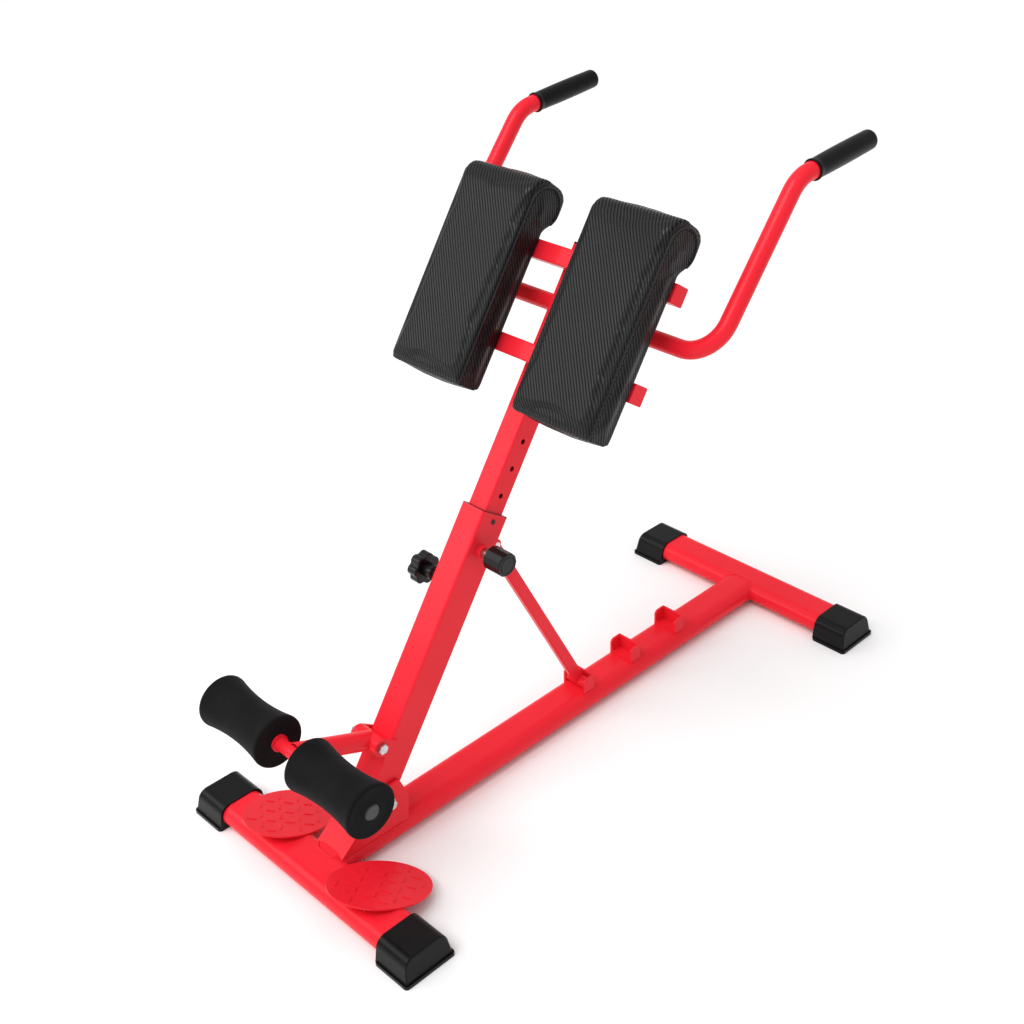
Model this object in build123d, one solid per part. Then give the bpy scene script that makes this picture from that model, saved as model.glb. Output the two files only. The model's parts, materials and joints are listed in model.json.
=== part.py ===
from build123d import *
import math
import os

# Foldable roman chair (hyperextension bench), millimetres.
# Layout axes: X runs from the front cross tube to the rear one, +Y is the user's left, Z is up.
# Everything is laid out with X = 0 on the front cross tube, then moved so that the origin lies
# on the floor at the middle of the overall length.

# ---- base frame ----
BASE_LENGTH = 1100.0          # between the centre lines of the two cross tubes
FRONT_HALF_WIDTH = 274.0      # centre plane to the outside of a front foot cap
REAR_HALF_WIDTH = 267.0
CROSS_TUBE_WIDTH = 76.0       # flat-oval tube, wide side level
BEAM_WIDTH = 71.5
BASE_TUBE_HEIGHT = 40.0
BASE_TUBE_WALL = 2.0

# ---- foot caps ----
CAP_LENGTH = 74.0             # along the cross tube
CAP_FOOT_WIDTH = 97.0         # across the flange that stands on the floor
CAP_FLANGE_HEIGHT = 6.0
CAP_WALL = 2.5                # over the tube, and the ledge round the foot
CAP_FLOOR = 3.0               # rubber under the tube
CAP_TAPER = 7.0               # how far each side leans in from the flange to the top
CAP_END_LEAN = 7.0            # how far the outer end leans in from the flange to the top
CAP_END = 12.0                # solid rubber beyond the end of the tube
CAP_CORNER = 18.0             # rounding of the two long top edges
CAP_EDGE = 2.0                # bevel round the outer end
CAP_FOOT_CORNER = 6.0
CAP_FIT = 0.25                # clearance between tube and cap

# ---- telescopic post, its own frame: n to the rear, s along the post ----
LEAN = 34.4                   # from the vertical, degrees
POST_DEPTH = 60.0             # fore and aft
POST_WIDTH = 50.0
POST_WALL = 2.0
POST_CORNER = 4.0
POST_N = 41.4                 # centre line, distance behind the leaning plane through the origin
POST_BOTTOM_S = 120.0
POST_RIM_S = 642.0
INNER_DEPTH = 42.0
INNER_WIDTH = 40.0
INNER_WALL = 2.0
INNER_CORNER = 3.0
INNER_BOTTOM_S = 440.0
INNER_TOP_S = 1080.0
GUIDE_LENGTH = 45.0           # plastic guide inside the rim
GUIDE_LIP = 0.8
GUIDE_FIT = 0.25              # sliding clearance on the inner post
GLIDE_LENGTH = 20.0           # plastic glide at the lower end of the inner post
GLIDE_FIT = 0.3
GLIDE_FLOOR = 3.0             # under the end of the inner post
GLIDE_WINDOW = 4.0            # round the opening in that floor
TOP_CAP_PLUG = 15.0
TOP_CAP_HEAD = 3.0
GUIDE_SCREW_S = POST_RIM_S - 12.0
GUIDE_SCREW_R = 2.5

# ---- post pivot at the base ----
PIVOT_N = 59.0
PIVOT_S = 148.6
PIVOT_BOLT_R = 5.0
PIVOT_SLEEVE_R = 7.5
RUNNING_FIT = 0.05            # radial, every bolt in its turning bore
WELD_FIT = 0.05               # between a welded or pressed round piece and its hole
BRACKET_PLATE = 4.8
SIDE_WASHER = 2.0
SIDE_GAP = 0.1                # each side of a washer or turning sleeve
BRACKET_TOE_X = 33.0
BRACKET_HEEL_X = 177.0
BRACKET_WEB_TOP_Z = 75.0
BRACKET_EAR_R = 22.0
BRACKET_EAR_RISE = 35.2       # top of the side plates above the pivot
BRACKET_SLOPE_DROP = 4.0      # rear corner of the side plates below the pivot
BRACKET_HEEL_STEP = 6.0       # rear edge leans forward by this much on its way down

# ---- fasteners ----
HEAD_AF = 16.0                # M10 hexagon across flats
HEAD_HEIGHT = 6.4
NUT_HEIGHT = 8.0
BOLT_TAIL = 2.0               # thread showing beyond a nut
WASHER_R = 10.0
EDGE_BREAK = 0.8              # chamfer on bolt heads and small plastic edges
RIVET_HEAD_RATIO = 1.7        # rivet head radius over shank radius

# ---- height adjustment ----
HOLE_PITCH = 46.0
HOLE_R = 4.5
TOP_HOLE_GAP = 99.0           # no hole nearer than this below the lower crossbar
PIN_S = 580.0
PIN_R = 4.0
PIN_TRAVEL = 9.0
PIN_TIP_GAP = 0.4
BOSS_R = 11.0
BOSS_HEIGHT = 7.0
BARREL_R = 7.0
BARREL_BORE_R = 6.0
BARREL_OUT = 23.0             # how far the barrel stands out of the post wall
BARREL_END = 2.0              # thickness of its two end walls
PIN_SHAFT_R = 3.0
PIN_COLLAR = 2.0
SPRING_WIRE_R = 0.6
PULL_KNOB_R = 20.0
PULL_KNOB_LENGTH = 35.0
PULL_KNOB_FACETS = 12
PULL_KNOB_START = 25.0        # post wall to the inner end of the knob, pin drawn out
PULL_KNOB_SEAT = 12.0         # solid end of the knob, holding the pin's shaft
PULL_RING_OUT_R = 14.5         # groove round the plain cap on the knob's end
PULL_RING_IN_R = 13.3
PULL_RING_DEPTH = 1.2
KNOB_BEVEL = 1.5

CLAMP_S = 513.0
CLAMP_SCREW_R = 5.0
CLAMP_BOSS_HEIGHT = 8.0
CLAMP_KNOB_R = 27.0
CLAMP_KNOB_THICK = 20.0
CLAMP_HUB_R = 12.5
CLAMP_HUB_START = 23.0        # post wall to the hub
CLAMP_HUB_LENGTH = 17.0
CLAMP_LOBES = 7
CLAMP_TIP_GAP = 0.3
CLAMP_LOBE_R = 9.2
CLAMP_WEB_R = 23.4            # solid disc between the lobes
CLAMP_NOTCH_R = 5.2           # finger notches, centred just outside the knob
CLAMP_NOTCH_OUT = 1.4

# ---- prop strut and its catches ----
STRUT_PIVOT_S = 592.0
STRUT_PIVOT_OUT = 15.4        # behind the rear face of the post
STRUT_DEPTH = 22.0
STRUT_WIDTH = 14.0
STRUT_WALL = 2.0
STRUT_ROD_R = 10.5
STRUT_ROD_LENGTH = 41.0
STRUT_PIN_R = 4.0
STRUT_PIN_HEAD = 2.5
STRUT_CORNER = 3.0
STRUT_EYE_FILL = 9.0          # solid end round the upper pin
STRUT_EAR = 4.0
STRUT_EAR_GAP = 0.6
STRUT_WEB = 3.0
CATCH_COUNT = 3
CATCH_FIRST_X = 590.0         # open front end of the catch nearest the post
CATCH_PITCH = 125.5
CATCH_LENGTH = 26.0
CATCH_HALF_WIDTH = 26.0
CATCH_PLATE = 4.0
CATCH_TOP_Z = 72.0
CATCH_CORNER = 9.0
ROD_FIT = 0.3                 # open pivot between rod and catch

# ---- ankle roller arm ----
ARM_PIVOT_N = -8.0
ARM_PIVOT_S = 240.4
ARM_R = 16.0
ARM_WALL = 2.0
ARM_SLEEVE_R = 15.0
ARM_EAR_PLATE = 4.0
ARM_EAR_R = 15.0
ARM_EAR_LAP = 11.0            # how far the ears lie on the sides of the post
ROLLER_X = -12.0
ROLLER_Z = 264.0
ROLLER_BAR_R = 10.5
ROLLER_BAR_WALL = 1.5
ROLLER_INNER_Y = 35.5
ROLLER_OUTER_Y = 185.0
ROLLER_END_R = 44.0
ROLLER_WAIST_R = 37.0
ROLLER_EDGE = 5.0
CORE_R = 13.0
CORE_FIT = 0.3                # core turning on the bar, and foam round the core
STOP_COLLAR_R = 14.0
STOP_COLLAR_LENGTH = 4.0
PLUG_HEAD = 2.0
PLUG_HEAD_R = 12.0

# ---- foot plates ----
PLATE_X = 35.8
PLATE_Y = 115.8
PLATE_Z = 38.1
PLATE_LONG_R = 89.0
PLATE_SHORT_R = 64.0
PLATE_TURN = 10.3             # long axis, degrees from straight back towards the outside
PLATE_TILT = 20.0             # rear edge lower than the front one, degrees
PLATE_THICK = 3.0
TREAD_HEIGHT = 1.2
TREAD_LENGTH = 15.0
TREAD_WIDTH = 3.0
TREAD_SPACING = 22.0
TREAD_SHARE = 0.82            # part of the plate's radius that has tread
STAND_SPACING = 56.0
STAND_LENGTH = 34.0
STAND_PLATE = 4.0

# ---- head: crossbars, handle, pads ----
BAR_SIZE = 30.0
BAR_WALL = 2.0
BAR_CORNER = 2.5
BAR_HALF_LENGTH = 219.0
TOP_BAR_S = 1051.6
BOTTOM_BAR_S = 896.4
HANDLE_R = 14.0
HANDLE_WALL = 2.0
HANDLE_N = 45.0
HANDLE_S = 984.0
HANDLE_HALF_SPAN = 286.0
HANDLE_BEND_R = 58.0
HANDLE_TOP_X = 779.0
HANDLE_TOP_Z = 1010.0
GRIP_RISE = 5.0               # degrees above level
GRIP_START = 34.0             # from the upper bend point to the grip
GRIP_LENGTH = 148.0
GRIP_R = 16.5
GRIP_END = 4.0
PAD_INNER_Y = 59.0
PAD_OUTER_Y = 216.5
PAD_BOTTOM_S = 808.0
PAD_THICK = 58.0
PAD_NOSE_R = 37.0
PAD_NOSE_S = 1115.0
PAD_NOSE_BACK = 24.0          # how far the nose reaches behind the pad's back plane
PAD_TUCK_S = 1074.4           # where the nose meets the back plane
PAD_CORNER = 14.0
PAD_GAP = 0.3
BOARD_THICK = 12.0
BOARD_INSET = 12.0
BOARD_CORNER = 10.0
BOARD_BOTTOM_S = 830.0
BOARD_TOP_S = 1074.0
PAD_BOLT_R = 4.0
PAD_BOLT_SPACING = 90.0
PAD_BOLT_AF = 13.0
PAD_BOLT_HEAD = 5.3
TEE_NUT_R = 10.0
TEE_NUT_FLANGE = 1.5
TEE_NUT_SHANK_R = 5.5
TEE_NUT_SHANK = 9.0

# ---- derived places ----
TUBE_Z = CAP_FLOOR + CAP_FIT + BASE_TUBE_HEIGHT / 2
DECK_Z = TUBE_Z + BASE_TUBE_HEIGHT / 2
ORIGIN_X = (BASE_LENGTH + CAP_FOOT_WIDTH / 2 + min(-CAP_FOOT_WIDTH / 2, ROLLER_X - ROLLER_END_R)) / 2
POST_FRONT_N = POST_N - POST_DEPTH / 2
POST_BACK_N = POST_N + POST_DEPTH / 2
POST_SIDE_Y = POST_WIDTH / 2
BRACKET_IN_Y = POST_SIDE_Y + SIDE_WASHER + 2 * SIDE_GAP
BRACKET_OUT_Y = BRACKET_IN_Y + BRACKET_PLATE
BAR_BACK_N = POST_N - INNER_DEPTH / 2
BAR_N = BAR_BACK_N - BAR_SIZE / 2
PAD_BACK_N = BAR_BACK_N - BAR_SIZE
CATCH_SEAT_X = CATCH_FIRST_X + CATCH_LENGTH - CATCH_PLATE
ROD_X = CATCH_SEAT_X - ROD_FIT - STRUT_ROD_R
ROD_Z = DECK_Z + CATCH_PLATE + ROD_FIT + STRUT_ROD_R
STRUT_PIVOT_N = POST_BACK_N + STRUT_PIVOT_OUT
ARM_EAR_IN_Y = POST_SIDE_Y
PAD_MID_Y = (PAD_INNER_Y + PAD_OUTER_Y) / 2

SIDES = {"left": 1, "right": -1}


def post_point(n, s):
    """X and Z of a point given in the leaning post frame."""
    lean = math.radians(LEAN)
    return n * math.cos(lean) + s * math.sin(lean), s * math.cos(lean) - n * math.sin(lean)


def leaning(shape):
    """Turn a shape drawn with n, y, s as x, y, z into its leaning place."""
    return Rot(0, LEAN, 0) * shape


def block(x0, x1, y0, y1, z0, z1):
    return Pos((x0 + x1) / 2, (y0 + y1) / 2, (z0 + z1) / 2) * Box(x1 - x0, y1 - y0, z1 - z0)


def along_y(sketch, y0, y1, x=0.0, z=0.0):
    """Extrude a sketch drawn in X and Z from y0 to y1."""
    return Pos(x, y1, z) * extrude(Plane.XZ * sketch, amount=y1 - y0)


def bar_y(x, z, y0, y1, radius):
    return along_y(Circle(radius), y0, y1, x, z)


def hex_y(x, z, y0, y1, across_flats):
    return along_y(RegularPolygon(across_flats / 2, 6, major_radius=False), y0, y1, x, z)


def ring_y(x, z, y0, y1, outer, inner):
    return bar_y(x, z, y0, y1, outer) - bar_y(x, z, y0, y1, inner)


def box_tube(depth, width, corner, wall, bottom, top):
    """Upright rectangular tube centred on Z, with rounded corners."""
    outer = RectangleRounded(depth, width, corner)
    inner = RectangleRounded(depth - 2 * wall, width - 2 * wall, max(corner - wall, wall / 4))
    return Pos(0, 0, bottom) * extrude(outer - inner, amount=top - bottom)


def box_bar(depth, width, corner, bottom, top):
    return Pos(0, 0, bottom) * extrude(RectangleRounded(depth, width, corner), amount=top - bottom)


def plate_y(points, y0, y1, radius=0.0):
    """Flat plate with an outline given in X and Z."""
    face = make_face(Polyline(*points, close=True))
    if radius:
        face = fillet(face.vertices(), radius)
    return along_y(face, y0, y1)


def solids_of(*shapes):
    """All the solids of some shapes as one group of separate solids."""
    return Compound(children=[solid for shape in shapes for solid in shape.solids()])


# ---------------------------------------------------------------- base frame
def oval(width, inset=0.0):
    return SlotOverall(width - 2 * inset, BASE_TUBE_HEIGHT - 2 * inset)


def cross_tube_solid(x, half_length, inset=0.0):
    return along_y(oval(CROSS_TUBE_WIDTH, inset), -half_length, half_length, x, TUBE_Z)


def tube_half_length(half_width):
    return half_width - CAP_END - CAP_FIT


def cross_tube(x, half_width):
    half = tube_half_length(half_width)
    return cross_tube_solid(x, half) - cross_tube_solid(x, half, BASE_TUBE_WALL)


def beam_solid(inset=0.0):
    section = Plane.YZ * oval(BEAM_WIDTH, inset)
    return Pos(0, 0, TUBE_Z) * extrude(section, amount=BASE_LENGTH)


def base_outside():
    """Everything filled by the welded base tubes, used to cope what stands on them."""
    front = cross_tube_solid(0, tube_half_length(FRONT_HALF_WIDTH))
    return beam_solid() + front


def main_beam():
    tube = beam_solid() - beam_solid(BASE_TUBE_WALL)
    for x, half_width in ((0.0, FRONT_HALF_WIDTH), (BASE_LENGTH, REAR_HALF_WIDTH)):
        tube -= cross_tube_solid(x, tube_half_length(half_width))
    return tube


def foot_cap(x, half_width, side):
    """Rubber cap over a tube end: flange on the floor, leaning sides and end, blind pocket."""
    top_z = DECK_Z + CAP_WALL
    inner_y = half_width - CAP_LENGTH
    flange = Pos(x, half_width - CAP_LENGTH / 2, 0) * extrude(
        RectangleRounded(CAP_FOOT_WIDTH, CAP_LENGTH, CAP_FOOT_CORNER), amount=CAP_FLANGE_HEIGHT)
    foot = CAP_FOOT_WIDTH / 2 - CAP_WALL
    crown = foot - CAP_TAPER
    low_z = CAP_FLANGE_HEIGHT / 2
    outline = make_face(Polyline((-foot, low_z), (foot, low_z), (crown, top_z), (-crown, top_z), close=True))
    body = along_y(outline, inner_y, half_width, x)
    body = fillet(body.edges().filter_by(Axis.Y).group_by(Axis.Z)[-1], CAP_CORNER)
    end_y = half_width - CAP_WALL
    end = Plane.YZ * make_face(Polyline((end_y, low_z), (half_width + 1, low_z), (half_width + 1, top_z + 1),
                                        (end_y - CAP_END_LEAN, top_z + 1), close=True))
    body -= Pos(x - CAP_FOOT_WIDTH, 0, 0) * extrude(end, amount=2 * CAP_FOOT_WIDTH)
    rim = body.faces().filter_by(GeomType.PLANE).sort_by(Axis.Y)[-1].edges().sort_by(Axis.Z)[-1]
    body = chamfer(rim, CAP_EDGE)
    pocket = along_y(SlotOverall(CROSS_TUBE_WIDTH + 2 * CAP_FIT, BASE_TUBE_HEIGHT + 2 * CAP_FIT),
                     inner_y - 1, half_width - CAP_END, x, TUBE_Z)
    cap = flange + body - pocket
    return cap if side > 0 else mirror(cap, Plane.XZ)


def foot_plate(side):
    """Leaning oval plate with a raised herringbone tread, lower towards the rear."""
    plate = extrude(Ellipse(PLATE_LONG_R, PLATE_SHORT_R), amount=PLATE_THICK)
    rows = int(PLATE_LONG_R / TREAD_SPACING)
    for row in range(-rows, rows + 1):
        for column in range(-rows, rows + 1):
            u, v = row * TREAD_SPACING, column * TREAD_SPACING
            if math.hypot(u / PLATE_LONG_R, v / PLATE_SHORT_R) > TREAD_SHARE:
                continue
            turn = 45 if (row + column) % 2 else -45
            tread = extrude(SlotOverall(TREAD_LENGTH, TREAD_WIDTH), amount=PLATE_THICK + TREAD_HEIGHT)
            plate += Pos(u, v, 0) * Rot(0, 0, turn) * tread
    placed = Pos(PLATE_X, PLATE_Y, PLATE_Z) * Rot(0, PLATE_TILT, 0) * Rot(0, 0, PLATE_TURN) * plate
    return placed if side > 0 else mirror(placed, Plane.XZ)


def plate_under(side):
    """Everything above the underside of a foot plate, used to trim its stand."""
    size = 4 * PLATE_LONG_R
    above = Pos(0, 0, size / 2) * Box(size, size, size)
    placed = Pos(PLATE_X, PLATE_Y, PLATE_Z) * Rot(0, PLATE_TILT, 0) * above
    return placed if side > 0 else mirror(placed, Plane.XZ)


def plate_stand(side):
    """Two short upright straps welded between the cross tube and a foot plate."""
    straps = []
    for y in (PLATE_Y - STAND_SPACING / 2, PLATE_Y + STAND_SPACING / 2):
        strap = block(-STAND_LENGTH / 2, STAND_LENGTH / 2, y - STAND_PLATE / 2, y + STAND_PLATE / 2,
                      TUBE_Z, PLATE_Z + STAND_LENGTH)
        straps.append(strap)
    stand = solids_of(*straps)
    if side < 0:
        stand = mirror(stand, Plane.XZ)
    trimmed = [strap - plate_under(side) - cross_tube_solid(0, FRONT_HALF_WIDTH) for strap in stand.solids()]
    return solids_of(*trimmed)



def catch(index):
    """U-shaped catch on the beam: floor, two ears and a rear wall, open to the front."""
    x0 = CATCH_FIRST_X + index * CATCH_PITCH
    x1 = x0 + CATCH_LENGTH
    w = CATCH_HALF_WIDTH
    outer = block(x0, x1, -w, w, TUBE_Z, CATCH_TOP_Z)
    front_top = outer.edges().filter_by(Axis.Y).group_by(Axis.Z)[-1].sort_by(Axis.X)[0]
    outer = fillet(front_top, CATCH_CORNER)
    inside = block(x0 - 1, x1 - CATCH_PLATE, -w + CATCH_PLATE, w - CATCH_PLATE,
                   DECK_Z + CATCH_PLATE, CATCH_TOP_Z + 1)
    return outer - inside - beam_solid()


def pivot_bracket():
    """Fork that carries the post: two side plates and a leaning front web, coped to the tubes."""
    px, pz = post_point(PIVOT_N, PIVOT_S)
    ear_top = pz + BRACKET_EAR_RISE
    slope = (px - BRACKET_TOE_X) / (ear_top - DECK_Z)
    outline = [(BRACKET_TOE_X, DECK_Z), (px, ear_top), (px + BRACKET_EAR_R, ear_top),
               (BRACKET_HEEL_X - BRACKET_HEEL_STEP, pz - BRACKET_SLOPE_DROP),
               (BRACKET_HEEL_X - 2 * BRACKET_HEEL_STEP, TUBE_Z), (BRACKET_TOE_X, TUBE_Z)]
    bracket = plate_y(outline, BRACKET_IN_Y, BRACKET_OUT_Y) + plate_y(outline, -BRACKET_OUT_Y, -BRACKET_IN_Y)
    low_x = BRACKET_TOE_X - (DECK_Z - TUBE_Z) * slope
    high_x = BRACKET_TOE_X + (BRACKET_WEB_TOP_Z - DECK_Z) * slope
    web = [(low_x, TUBE_Z), (high_x, BRACKET_WEB_TOP_Z), (high_x + BRACKET_PLATE, BRACKET_WEB_TOP_Z),
           (low_x + BRACKET_PLATE, TUBE_Z)]
    bracket += plate_y(web, -BRACKET_OUT_Y, BRACKET_OUT_Y)
    bracket -= bar_y(px, pz, -BRACKET_OUT_Y - 1, BRACKET_OUT_Y + 1, PIVOT_BOLT_R + RUNNING_FIT)
    below = block(-BASE_LENGTH, BRACKET_HEEL_X, -BEAM_WIDTH, BEAM_WIDTH, -TUBE_Z, TUBE_Z)
    return bracket - base_outside() - below


def hex_bolt(x, z, grip_half, nut_side):
    """Bolt along Y with its head on the side away from the nut, through grip_half each way."""
    head = hex_y(x, z, -grip_half - HEAD_HEIGHT, -grip_half, HEAD_AF)
    shank = bar_y(x, z, -grip_half, grip_half + NUT_HEIGHT + BOLT_TAIL, PIVOT_BOLT_R)
    bolt = chamfer((head + shank).faces().sort_by(Axis.Y)[0].edges(), EDGE_BREAK)
    return bolt if nut_side > 0 else mirror(bolt, Plane.XZ)


def hex_nut(x, z, grip_half):
    nut = hex_y(x, z, grip_half, grip_half + NUT_HEIGHT, HEAD_AF)
    return nut - bar_y(x, z, grip_half - 1, grip_half + NUT_HEIGHT + 1, PIVOT_BOLT_R)


# ---------------------------------------------------------------- lower post
def lower_post():
    tube = Pos(POST_N, 0, 0) * box_tube(POST_DEPTH, POST_WIDTH, POST_CORNER, POST_WALL,
                                        POST_BOTTOM_S, POST_RIM_S)
    tube -= bar_y(PIVOT_N, PIVOT_S, -POST_WIDTH, POST_WIDTH, PIVOT_SLEEVE_R + WELD_FIT)
    tube -= bar_y(POST_N, PIN_S, -POST_WIDTH, 0, BARREL_R + WELD_FIT)
    tube -= bar_y(POST_N, CLAMP_S, 0, POST_WIDTH, CLAMP_SCREW_R + 2 * RUNNING_FIT)
    tube -= bar_y(POST_N, GUIDE_SCREW_S, -POST_WIDTH, 0, GUIDE_SCREW_R + WELD_FIT)
    return leaning(tube)


def pivot_sleeve():
    sleeve = ring_y(PIVOT_N, PIVOT_S, -POST_SIDE_Y, POST_SIDE_Y, PIVOT_SLEEVE_R, PIVOT_BOLT_R + RUNNING_FIT)
    return leaning(sleeve)


def post_guide():
    """Plastic guide pressed into the rim, with a lip on top."""
    fit = POST_WALL + WELD_FIT
    outer = box_bar(POST_DEPTH - 2 * fit, POST_WIDTH - 2 * fit, POST_CORNER - POST_WALL,
                    POST_RIM_S - GUIDE_LENGTH, POST_RIM_S)
    lip = box_bar(POST_DEPTH, POST_WIDTH, POST_CORNER, POST_RIM_S, POST_RIM_S + GUIDE_LIP)
    hole = box_bar(INNER_DEPTH + 2 * GUIDE_FIT, INNER_WIDTH + 2 * GUIDE_FIT, INNER_CORNER,
                   POST_RIM_S - GUIDE_LENGTH - 1, POST_RIM_S + GUIDE_LIP + 1)
    guide = Pos(POST_N, 0, 0) * (outer + lip - hole)
    guide -= bar_y(POST_N, GUIDE_SCREW_S, -POST_WIDTH, 0, GUIDE_SCREW_R + WELD_FIT)
    return leaning(guide)


def guide_rivet():
    """Plastic push rivet that keeps the guide in the post."""
    inner_y = -(INNER_WIDTH / 2 + GUIDE_FIT + SIDE_GAP)
    shank = bar_y(POST_N, GUIDE_SCREW_S, -POST_SIDE_Y, inner_y, GUIDE_SCREW_R)
    head = bar_y(POST_N, GUIDE_SCREW_S, -POST_SIDE_Y - 1, -POST_SIDE_Y, GUIDE_SCREW_R * RIVET_HEAD_RATIO)
    return leaning(shank + head)


def pin_boss():
    ring = ring_y(POST_N, PIN_S, -POST_SIDE_Y - BOSS_HEIGHT, -POST_SIDE_Y, BOSS_R, BARREL_R + WELD_FIT)
    return leaning(chamfer(ring.faces().sort_by(Axis.Y)[0].edges().sort_by(SortBy.LENGTH)[-1], KNOB_BEVEL))


def barrel_places():
    """Y of the barrel's inner end, the spring chamber's two ends and the outer end."""
    inner = -(POST_SIDE_Y - POST_WALL)
    outer = -POST_SIDE_Y - BARREL_OUT
    return inner, inner - BARREL_END - POST_WALL, outer + BARREL_END, outer


def pin_barrel():
    """Threaded barrel that holds the pin and its spring."""
    inner, chamber_in, chamber_out, outer = barrel_places()
    barrel = bar_y(POST_N, PIN_S, outer, inner, BARREL_R)
    barrel -= bar_y(POST_N, PIN_S, chamber_out, chamber_in, BARREL_BORE_R)
    barrel -= bar_y(POST_N, PIN_S, chamber_in - 1, inner + 1, PIN_R + RUNNING_FIT)
    barrel -= bar_y(POST_N, PIN_S, outer - 1, chamber_out + 1, PIN_SHAFT_R + RUNNING_FIT)
    return leaning(barrel)


def pin_tip_y():
    return -(INNER_WIDTH / 2 + PIN_TIP_GAP)


def pull_pin():
    """Pin drawn out: nose, stop collar inside the barrel, shaft to the knob."""
    _, chamber_in, _, _ = barrel_places()
    collar_in = chamber_in - PIN_TRAVEL - SIDE_GAP
    collar_out = collar_in - PIN_COLLAR
    nose = bar_y(POST_N, PIN_S, collar_out, pin_tip_y(), PIN_R)
    nose = chamfer(nose.faces().sort_by(Axis.Y)[-1].edges(), EDGE_BREAK)
    collar = bar_y(POST_N, PIN_S, collar_out, collar_in, BARREL_BORE_R - 2 * RUNNING_FIT)
    shaft_end = -POST_SIDE_Y - PULL_KNOB_START - PULL_KNOB_LENGTH + PULL_KNOB_SEAT
    shaft = bar_y(POST_N, PIN_S, shaft_end, collar_out, PIN_SHAFT_R)
    return leaning(nose + collar + shaft)


def pull_knob():
    """Faceted knob: cavity over the barrel, blind hole for the shaft, ringed end."""
    y1 = -POST_SIDE_Y - PULL_KNOB_START
    y0 = y1 - PULL_KNOB_LENGTH
    body = along_y(RegularPolygon(PULL_KNOB_R, PULL_KNOB_FACETS), y0, y1, POST_N, PIN_S)
    body = chamfer(body.faces().sort_by(Axis.Y)[0].edges(), KNOB_BEVEL)
    body -= bar_y(POST_N, PIN_S, y1 - PIN_TRAVEL - BARREL_END, y1 + 1, BARREL_R + 2 * CAP_FIT)
    body -= bar_y(POST_N, PIN_S, y0 + PULL_KNOB_SEAT, y1, PIN_SHAFT_R + WELD_FIT)
    body -= ring_y(POST_N, PIN_S, y0 - 1, y0 + PULL_RING_DEPTH, PULL_RING_OUT_R, PULL_RING_IN_R)
    return leaning(body)


def pin_spring():
    """Compression spring, drawn at the length it has with the pin out."""
    _, chamber_in, chamber_out, _ = barrel_places()
    collar_out = chamber_in - PIN_TRAVEL - SIDE_GAP - PIN_COLLAR
    length = collar_out - chamber_out - 2 * SIDE_GAP - 2 * SPRING_WIRE_R
    coil_r = (BARREL_BORE_R + PIN_SHAFT_R) / 2
    helix = Helix(pitch=length / 3, height=length, radius=coil_r)
    wire = sweep(Plane(origin=helix @ 0, z_dir=helix % 0) * Circle(SPRING_WIRE_R), path=helix)
    return leaning(Pos(POST_N, collar_out - SIDE_GAP - SPRING_WIRE_R, PIN_S) * Rot(90, 0, 0) * wire)


def clamp_boss():
    ring = ring_y(POST_N, CLAMP_S, POST_SIDE_Y, POST_SIDE_Y + CLAMP_BOSS_HEIGHT, BOSS_R,
                  CLAMP_SCREW_R + RUNNING_FIT)
    return leaning(chamfer(ring.faces().sort_by(Axis.Y)[-1].edges().sort_by(SortBy.LENGTH)[-1], KNOB_BEVEL))


def clamp_screw():
    tip = INNER_WIDTH / 2 + CLAMP_TIP_GAP
    end = POST_SIDE_Y + CLAMP_HUB_START + CLAMP_HUB_LENGTH
    return leaning(bar_y(POST_N, CLAMP_S, tip, end, CLAMP_SCREW_R))


def clamp_knob():
    """Lobed hand knob on a plain hub."""
    hub_y = POST_SIDE_Y + CLAMP_HUB_START
    disc_y = hub_y + CLAMP_HUB_LENGTH
    profile = Circle(CLAMP_WEB_R)
    for point in PolarLocations(CLAMP_KNOB_R - CLAMP_LOBE_R, CLAMP_LOBES):
        profile += point * Circle(CLAMP_LOBE_R)
    for point in PolarLocations(CLAMP_KNOB_R + CLAMP_NOTCH_OUT, CLAMP_LOBES, start_angle=180 / CLAMP_LOBES):
        profile -= point * Circle(CLAMP_NOTCH_R)
    disc = along_y(profile, disc_y, disc_y + CLAMP_KNOB_THICK, POST_N, CLAMP_S)
    disc = chamfer(disc.faces().filter_by(Axis.Y).edges(), KNOB_BEVEL)
    knob = disc + bar_y(POST_N, CLAMP_S, hub_y, disc_y, CLAMP_HUB_R)
    knob -= bar_y(POST_N, CLAMP_S, hub_y - 1, disc_y, CLAMP_SCREW_R + WELD_FIT)
    return leaning(knob)


# ---------------------------------------------------------------- strut
def strut_bracket():
    """Small fork welded to the rear face of the post."""
    ear_in = STRUT_WIDTH / 2 + STRUT_EAR_GAP
    ear_out = ear_in + STRUT_EAR
    ear_r = STRUT_DEPTH / 2
    fork = block(POST_BACK_N, POST_BACK_N + STRUT_WEB, -ear_out, ear_out,
                 STRUT_PIVOT_S - ear_r, STRUT_PIVOT_S + ear_r)
    for y0, y1 in ((ear_in, ear_out), (-ear_out, -ear_in)):
        fork += block(POST_BACK_N, STRUT_PIVOT_N, y0, y1, STRUT_PIVOT_S - ear_r, STRUT_PIVOT_S + ear_r)
        fork += bar_y(STRUT_PIVOT_N, STRUT_PIVOT_S, y0, y1, ear_r)
    fork -= bar_y(STRUT_PIVOT_N, STRUT_PIVOT_S, -ear_out - 1, ear_out + 1, STRUT_PIN_R + WELD_FIT)
    return leaning(fork)


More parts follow.
